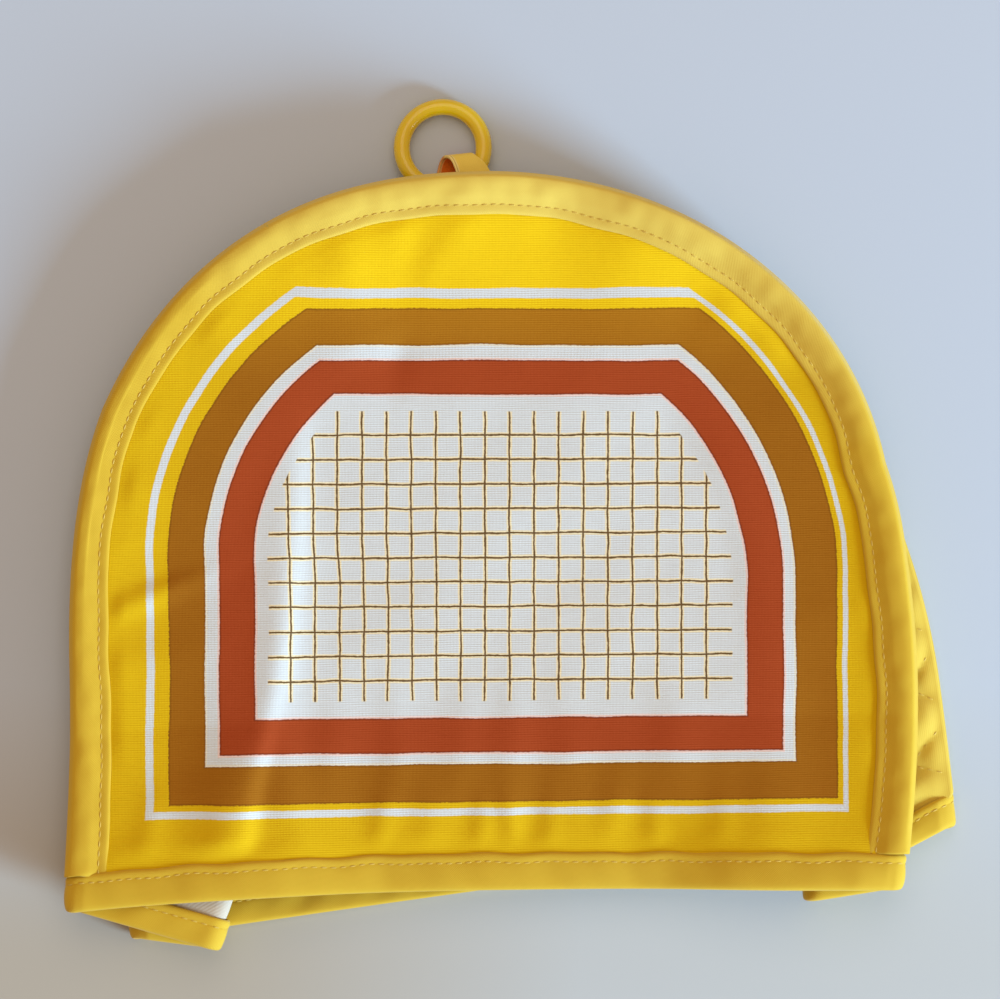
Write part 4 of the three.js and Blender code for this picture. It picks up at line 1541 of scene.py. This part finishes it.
def tab_trim(dyes):
    """Painted shade inside the loop, and a painted highlight with crease shade down its left edge.
    """

    dark, rim, crease = TAB_MARKS["inside"], TAB_MARKS["selvage"], TAB_MARKS["crease"]

    def trim(run, across, tone):
        # Painted shade: deep orange where the inside of the loop lies in shadow and takes warm
        # bounce light.
        inside = (run - dark["at"]).within(dark["soft"])
        tone = inside.paint(tone, dyes["loop_inside"])
        # Painted highlight along the doubled edge, weaker inside the painted shade.
        pale = (rim["at"] - across).within(rim["soft"]) * (1 - inside * dark["strength"])
        tone = (pale * rim["strength"]).paint(tone, dyes["selvage"])
        # Painted shade in the crease along that edge.
        crease_shade = (TAB_CREASE_SHADE["half"] - abs(across - crease["at"])).within(crease["soft"])
        crease_shade = crease_shade * crease["strength"]
        return crease_shade.paint(tone, shade(dyes["tab"], TAB_CREASE_SHADE["dark"]))

    return trim


def moulded_plastic(name, dyes):
    material, tree = new_material(name)
    place = object_place(tree)
    cloud, scuff = speckle(tree, place, "cloud"), speckle(tree, place, "scuff")
    tone = (cloud * RING_CLOUD["contrast"] + RING_CLOUD["level"]).held()
    tone = tone.paint(dyes["ring"], shade(dyes["ring"], RING_CLOUD["dark"]))
    bump = bumped(tree, scuff + cloud, RING_FINISH["depth"], RING_FINISH["bump"])
    finish(
        tree, Base_Color=tone, Roughness=scuff * RING_FINISH["scuff"] + RING_FINISH["rough"],
        Normal=bump, Coat_Weight=0.4, Coat_Roughness=0.08,
        Subsurface_Weight=0.12, Subsurface_Radius=(0.004, 0.002, 0.0006), Subsurface_Scale=1.0,
        IOR=1.49,
    )
    return material


def spun_thread(name, dyes):
    material, tree = new_material(name)
    twist = speckle(tree, object_place(tree), "twist")
    tone = (twist + 0.5).paint(dyes["thread"], shade(dyes["thread"], THREAD_DARK))
    finish(tree, Base_Color=tone, Roughness=0.6)
    return material


def table_with_painted_light(name, dyes):
    """The table top, painted greyer in front of the cover and warmer at the left of that, as shade.
    """
    material, tree = new_material(name)
    x, y = object_place(tree).parts("ShaderNodeSeparateXYZ")

    def share(name, away):
        reach, start = FLOOR_TONES[name]
        return (start - away / reach).sum("SMOOTH_MIN", 1.0, FLOOR_TONES["soft"]).most(0.0)

    # Painted shade: a warm shadow at the left, in front of the cover.
    tone = share("left", x).paint(dyes["near_floor"], dyes["warm_floor"])
    # Painted shade: less blue window light in front of the cover.
    tone = share("near", y).paint(dyes["floor"], tone)
    finish(tree, Base_Color=tone, Roughness=0.7, Specular_IOR_Level=0.2)
    return material


def cloth_material(name):
    """The material of that name, made the first time that it is asked for."""
    if name in bpy.data.materials:
        return bpy.data.materials[name]
    colours, prints = cover().colours, cover().prints
    dyes = {key: linear(getattr(colours, key)) for key in CoverColours.__annotations__}
    cloths = {
        "plain cotton": ("plain", "yellow", None),
        "binding tape": ("tape", "tape", None),
        # The band's tape carries a painted sheen over the top of the arch.
        "faded tape": ("tape", "tape", sheened_trim(dyes)),
        "quilted cotton": ("quilted", "quilt", None),
        "ribbed lining": ("lining", "lining", None),
        "tab tape": ("tab", "tab", tab_trim(dyes)),
    }
    if name in cloths:
        weave, dye, trim = cloths[name]
        return plain_cloth(name, WEAVES[weave], dyes[dye], trim)
    if name == "printed cotton":
        return printed_cotton(name, WEAVES["print"], dyes, prints)
    makers = {
        "moulded plastic": moulded_plastic,
        "sewing thread": spun_thread,
        "painted table": table_with_painted_light,
    }
    return makers[name](name, dyes)


# ---------------------------------------------------------- sizes and colours


def length_field(name, description, default):
    return FloatProperty(
        name=name, description=description, default=default, min=0.0, unit="LENGTH", precision=5
    )


def place_field(name, description, default):
    return FloatProperty(name=name, description=description, default=default, unit="LENGTH")


def power_field(name, description, default):
    return FloatProperty(name=name, description=description, default=default, unit="POWER")


def count_field(name, description, default):
    return IntProperty(name=name, description=description, default=default, min=2)


def colour_field(name, description, red, green, blue):
    return FloatVectorProperty(
        name=name, description=description, default=(red / 255, green / 255, blue / 255),
        size=3, min=0.0, max=1.0, subtype="COLOR_GAMMA",
    )


class CoverSizes(bpy.types.PropertyGroup):
    cloth: length_field("Cloth", "Thickness of the printed cloth", 0.0007)
    quilt: length_field("Quilted cloth", "Thickness of the side strip's outer cloth", 0.0009)
    lining: length_field("Lining", "Thickness of the side strip's lining", 0.0007)
    tape: length_field("Tape", "Thickness of the binding tape", 0.0005)
    loop: length_field("Loop", "Thickness of the hanging loop's doubled tape", 0.0009)
    band_width: length_field("Band width", "Width of the band round the back panel", 0.0128)
    hem_face: length_field("Hem tape height", "Height of the hem tape on the panels", 0.0114)
    hem_face_flap: length_field(
        "Hem tape height at the sides", "Height of the hem tape on the side strip", 0.0098)
    pucker: length_field("Pucker", "Height of the puckers beside the seams", 0.0003)
    quilt_pitch: length_field(
        "Quilting pitch", "Distance between quilting lines along the edge", 0.0255)
    quilt_puff: length_field("Quilting puff", "Height of the quilting between its lines", 0.0023)
    stitch_pitch: length_field("Stitch pitch", "Distance from one stitch to the next", 0.0031)
    stitch_length: length_field("Stitch length", "Length of one stitch", 0.0021)
    thread: length_field("Thread", "Thickness of the sewing thread", 0.00052)
    ring_radius: length_field("Ring radius", "Radius to the middle of the ring's section", 0.01315)
    ring_section: length_field("Ring section", "Radius of the hanging ring's section", 0.0026)


class PrintSizes(bpy.types.PropertyGroup):
    line: length_field("Outer line", "Width of the outer white line", 0.0025)
    gap: length_field("Gap", "Width of the ground between the line and the brown border", 0.0047)
    brown: length_field("Brown border", "Width of the brown border", 0.0117)
    white: length_field("White border", "Width of the white border", 0.0045)
    rust: length_field("Rust border", "Width of the rust border", 0.0115)
    pane_width: length_field("Pane width", "Distance between the upright lines", 0.00787)
    pane_height: length_field("Pane height", "Distance between the level lines", 0.00784)
    uprights: count_field("Upright lines", "Number of upright lines", 18)
    levels: count_field("Level lines", "Number of level lines", 11)
    pane_line: length_field("Pane line", "Width of the lines of the grid", 0.0006)
    pane_left: place_field("First upright", "Place of the first upright line", -0.0678)
    pane_bottom: place_field("Lowest line", "Place of the lowest level line", -0.0577)


class CoverColours(bpy.types.PropertyGroup):
    yellow: colour_field("Yellow cloth", "Ground of the printed cloth", 230, 185, 8)
    # Painted highlight: the lighter yellow and brown that the print is painted towards the top.
    fresh_yellow: colour_field("Fresh yellow", "Ground of the print at the top", 246, 204, 12)
    brown: colour_field("Brown print", "Brown border", 162, 100, 12)
    fresh_brown: colour_field("Fresh brown", "Brown border at the top", 182, 121, 18)
    rust: colour_field("Rust print", "Rust border", 170, 70, 28)
    white: colour_field("White cloth", "Undyed cloth in the print", 218, 220, 219)
    blush: colour_field("Blush", "Thin edge beside the rust border", 248, 206, 190)
    halo: colour_field("Halo", "Pale edge beside the brown print", 252, 230, 176)
    grid: colour_field("Grid", "Lines of the windowpane grid", 106, 68, 14)
    quilt: colour_field("Quilted cloth", "Outer cloth of the side strip", 218, 183, 66)
    lining: colour_field("Lining", "Lining of the side strip", 200, 184, 164)
    tape: colour_field("Tape", "Binding tape", 209, 168, 42)
    # Painted sheen: the paler tape colour laid over the top of the arch.
    faded: colour_field("Faded tape", "Tape over the top of the arch", 246, 222, 114)
    tab: colour_field("Tab", "Tape of the hanging loop", 240, 212, 96)
    # Painted light on the loop: a highlight along its doubled edge, and the shade inside it.
    selvage: colour_field("Selvage", "Edge of the hanging loop's tape", 252, 232, 160)
    loop_inside: colour_field("Loop inside", "Inner side of the hanging loop", 214, 104, 14)
    thread: colour_field("Thread", "Sewing thread", 226, 188, 78)
    ring: colour_field("Ring", "Hanging ring", 238, 204, 18)
    floor: colour_field("Floor", "Table top", 194, 204, 218)
    # Painted shade on the table: less window light in front of the cover, and a warm shadow at the
    # left of that.
    near_floor: colour_field("Near floor", "Table top in front of the cover", 194, 198, 199)
    warm_floor: colour_field("Warm floor", "The same, at the left", 183, 176, 163)


class StageSizes(bpy.types.PropertyGroup):
    height: length_field("Camera height", "Height of the camera over the table", 1.5)
    view_width: length_field("View width", "Width of the view at the cover's own height", 0.320)
    level: place_field("View level", "Height over the table at which the view is measured", 0.010)
    window: power_field("Window light", "Power of the window light", 118.0)
    ceiling: power_field("Ceiling light", "Power of the ceiling light", 7.0)
    room: FloatProperty(
        name="Room light", description="Strength of the room's own light", default=0.54, min=0.0)


class ToasterCover(bpy.types.PropertyGroup):
    sizes: PointerProperty(name="Sizes", type=CoverSizes)
    prints: PointerProperty(name="Print", type=PrintSizes)
    colours: PointerProperty(name="Colours", type=CoverColours)
    stage: PointerProperty(name="Stage", type=StageSizes)


def cover():
    return bpy.context.scene.toaster_cover


# ---------------------------------------------------------------------- pieces


class COVER_OT_front_cloth(bpy.types.Operator):
    """Lay the printed front cloth over the folds beneath it"""

    bl_idname = "cover.front_cloth"
    bl_label = "Front cloth"

    def execute(self, context):
        sizes = cover().sizes
        shape = partial(front_sheet, sizes=sizes)
        piece = sheet_piece("front_cloth", shape, cloth_material("printed cotton"), sizes.cloth)
        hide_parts("front_panel")
        return {"FINISHED"}


class COVER_OT_back_cloth(bpy.types.Operator):
    """Lay the back cloth and its band on the table"""

    bl_idname = "cover.back_cloth"
    bl_label = "Back cloth and band"

    def execute(self, context):
        sizes = cover().sizes
        piece = sheet_piece("back_cloth", back_sheet, cloth_material("plain cotton"), sizes.cloth)
        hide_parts("back_panel")
        shape = partial(back_band_sheet, sizes=sizes)
        band = sheet_piece("back_band", shape, cloth_material("binding tape"), sizes.tape)
        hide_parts("back_binding")
        return {"FINISHED"}


class COVER_OT_side_strip(bpy.types.Operator):
    """Fold the quilted side strip and its lining in between the panels"""

    bl_idname = "cover.side_strip"
    bl_label = "Side strip and lining"

    def execute(self, context):
        sizes = cover().sizes
        shape = partial(quilt_sheet, sizes=sizes)
        piece = sheet_piece("side_strip", shape, cloth_material("quilted cotton"), sizes.quilt)
        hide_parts("gusset")
        material = cloth_material("ribbed lining")
        lining = sheet_piece("strip_lining", lining_sheet, material, sizes.lining)
        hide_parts("gusset_lining")
        return {"FINISHED"}


class COVER_OT_front_band(bpy.types.Operator):
    """Sew the folded band round the front cloth"""

    bl_idname = "cover.front_band"
    bl_label = "Front band"

    def execute(self, context):
        sizes = cover().sizes
        material = cloth_material("faded tape")
        piece = sheet_piece("front_band", front_band_sheet, material, sizes.tape, offset=-1.0)
        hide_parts("front_binding")
        u = seam_spots(FRONT.length - 2 * BAND_START, sizes)
        spots = on_sheet(front_band_sheet, u, np.full(len(u), BAND_SEAM), side=-1)
        stitches = stitch_piece("band_stitches", *spots, sizes, sizes.tape)
        return {"FINISHED"}


class COVER_OT_hem_tape(bpy.types.Operator):
    """Fold the hem tape over the edge of the mouth, all the way round"""

    bl_idname = "cover.hem_tape"
    bl_label = "Hem tape"

    def execute(self, context):
        sizes = cover().sizes
        path = hem_stations(sizes)
        shape = partial(hem_sheet, path=path)
        material = cloth_material("binding tape")
        piece = sheet_piece("hem_tape", shape, material, sizes.tape, loop=True)
        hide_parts("hem_binding")
        u = seam_spots(path["total"], sizes)
        seams = [on_sheet(shape, u, np.full(len(u), seam), side=-1) for seam in HEM_SEAMS]
        spots = [np.concatenate(pair) for pair in zip(*seams)]
        shown = spots[0][:, 2] > STITCHES_SHOW
        spots = [values[shown] for values in spots]
        stitches = stitch_piece("hem_stitches", *spots, sizes, sizes.tape / 2)
        return {"FINISHED"}


class COVER_OT_quilting(bpy.types.Operator):
    """Sew the quilting lines where the side strip shows beyond the front"""

    bl_idname = "cover.quilting"
    bl_label = "Quilting stitches"

    def execute(self, context):
        sizes = cover().sizes
        shape = partial(quilt_sheet, sizes=sizes)
        first, last = FRONT.length * QUILT_SHOWS["share"], FRONT.length - QUILT_SHOWS["end"]
        rows = []
        for run, depth in quilt_seams(sizes):
            points, _, normals = on_sheet(shape, run / FRONT.length, depth / GUSSET_DEPTH)
            ways = unit(np.gradient(points, axis=0))
            shown = (run > first) & (run < last)
            rows.append((points[shown], ways[shown], normals[shown]))
        spots = [np.concatenate(column) for column in zip(*rows)]
        stitches = stitch_piece("quilt_stitches", *spots, sizes, sizes.quilt / 2)
        return {"FINISHED"}


class COVER_OT_hanging_loop(bpy.types.Operator):
    """Fold the loop of tape that holds the ring"""

    bl_idname = "cover.hanging_loop"
    bl_label = "Hanging loop"

    def execute(self, context):
        sizes = cover().sizes
        piece = sheet_piece("hanging_loop", tab_sheet, cloth_material("tab tape"), sizes.loop)
        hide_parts("hang_tab")
        return {"FINISHED"}


class COVER_OT_hanging_ring(bpy.types.Operator):
    """Mould the hanging ring"""

    bl_idname = "cover.hanging_ring"
    bl_label = "Hanging ring"

    def execute(self, context):
        sizes = cover().sizes
        bm = bmesh.new()
        bmesh.ops.create_circle(bm, segments=40, radius=sizes.ring_section)
        upright = Matrix.Rotation(math.radians(90), 4, "X")
        bmesh.ops.transform(bm, matrix=upright, verts=bm.verts)
        bmesh.ops.translate(bm, vec=(sizes.ring_radius, 0, 0), verts=bm.verts)
        bmesh.ops.spin(
            bm, geom=bm.verts[:] + bm.edges[:], cent=(0, 0, 0), axis=(0, 0, 1), dvec=(0, 0, 0),
            angle=2 * math.pi, steps=144, use_merge=True, use_normal_flip=False,
            use_duplicate=False,
        )
        bmesh.ops.remove_doubles(bm, verts=bm.verts, dist=0.01 * MM)
        for vert in bm.verts:
            across = math.hypot(vert.co.x, vert.co.y) - sizes.ring_radius
            if across > 0 and abs(vert.co.z) < RING_LINE["half_height"] * MM:
                vert.co.xy *= 1 + RING_LINE["share"]
        middle = to_frame(np.array((RING["x"], RING["y"], RING["z"])))
        tilt = Matrix.Rotation(math.radians(RING["tilt"]), 4, "X")
        bmesh.ops.transform(bm, matrix=Matrix.Translation(Vector(middle)) @ tilt, verts=bm.verts)
        bmesh.ops.recalc_face_normals(bm, faces=bm.faces)
        mesh = mesh_from(bm, "hanging_ring")
        piece = link("hanging_ring", mesh, cloth_material("moulded plastic"))
        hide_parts("hang_ring")
        return {"FINISHED"}


class COVER_OT_declare_cloth(bpy.types.Operator):
    """Leaves the scene as it is; it notes nothing"""

    bl_idname = "cover.declare_cloth"
    bl_label = "Flat sizes"

    def execute(self, context):
        return {"FINISHED"}


class COVER_OT_stage(bpy.types.Operator):
    """Set the table, the window light and the camera"""

    bl_idname = "cover.stage"
    bl_label = "Table, light and camera"

    def execute(self, context):
        stage = cover().stage
        bm = bmesh.new()
        bmesh.ops.create_grid(bm, x_segments=8, y_segments=8, size=3.0)
        mesh = mesh_from(bm, "Table")
        mesh.materials.append(cloth_material("painted table"))
        table_top = bpy.data.objects.new("Table", mesh)
        context.scene.collection.objects.link(table_top)

        world = bpy.data.worlds.new("Room light")
        context.scene.world = world
        world.use_nodes = True
        world.node_tree.nodes.clear()
        inputs = {"Color": (*ROOM_COLOUR, 1.0), "Strength": stage.room}
        light = Flow.node(world.node_tree, "ShaderNodeBackground", None, inputs)
        Flow.node(world.node_tree, "ShaderNodeOutputWorld", None, {0: light})

        self.lamp(context, "Window light", LAMPS["window"], stage.window)
        self.lamp(context, "Ceiling light", LAMPS["ceiling"], stage.ceiling)
        self.camera(context, stage)
        context.scene.view_settings.view_transform = "Standard"
        return {"FINISHED"}

    def lamp(self, context, name, row, watts):
        """A square lamp that faces the cover."""
        turn, height = math.radians(row["turn"]), math.radians(row["height"])
        level = math.cos(height)
        way = Vector((level * math.cos(turn), level * math.sin(turn), math.sin(height)))
        data = bpy.data.lights.new(name, "AREA")
        data.shape = "SQUARE"
        data.size = row["size"]
        data.energy = watts
        data.color = row["colour"]
        lamp = bpy.data.objects.new(name, data)
        lamp.location = way * row["away"]
        lamp.rotation_euler = lamp.location.to_track_quat("Z", "Y").to_euler()
        context.scene.collection.objects.link(lamp)

    def camera(self, context, stage):
        data = bpy.data.cameras.new("Camera")
        data.sensor_width = SENSOR
        data.lens = SENSOR * (stage.height - stage.level) / stage.view_width
        data.clip_start, data.clip_end = 0.01, 20.0
        camera = bpy.data.objects.new("Camera", data)
        camera.location = (-ORIGIN[0] * MM, -ORIGIN[1] * MM, stage.height)
        context.scene.collection.objects.link(camera)
        context.scene.camera = camera


class COVER_PT_panel(bpy.types.Panel):
    """Builds the toaster cover piece by piece"""

    bl_label = "Toaster cover"
    bl_idname = "COVER_PT_panel"
    bl_space_type = "VIEW_3D"
    bl_region_type = "UI"
    bl_category = "Toaster cover"

    def draw(self, context):
        settings = context.scene.toaster_cover
        for operator in PIECES:
            self.layout.operator(operator.bl_idname)
        for group in (settings.sizes, settings.prints, settings.colours, settings.stage):
            box = self.layout.box()
            for name in group.__annotations__:
                box.prop(group, name)


PIECES = (
    COVER_OT_front_cloth,
    COVER_OT_back_cloth,
    COVER_OT_side_strip,
    COVER_OT_front_band,
    COVER_OT_hem_tape,
    COVER_OT_quilting,
    COVER_OT_hanging_loop,
    COVER_OT_hanging_ring,
    COVER_OT_stage,
    COVER_OT_declare_cloth,
)
GROUPS = (CoverSizes, PrintSizes, CoverColours, StageSizes, ToasterCover)
CLASSES = (*GROUPS, *PIECES, COVER_PT_panel)


def register():
    for entry in CLASSES:
        bpy.utils.register_class(entry)
    bpy.types.Scene.toaster_cover = PointerProperty(type=ToasterCover)


def unregister():
    del bpy.types.Scene.toaster_cover
    for entry in reversed(CLASSES):
        bpy.utils.unregister_class(entry)


def main():
    register()
    bpy.ops.cover.front_cloth()
    bpy.ops.cover.back_cloth()
    bpy.ops.cover.side_strip()
    bpy.ops.cover.front_band()
    bpy.ops.cover.hem_tape()
    bpy.ops.cover.quilting()
    bpy.ops.cover.hanging_loop()
    bpy.ops.cover.hanging_ring()
    bpy.ops.cover.stage()
    bpy.ops.cover.declare_cloth()


if __name__ == "__main__":
    main()
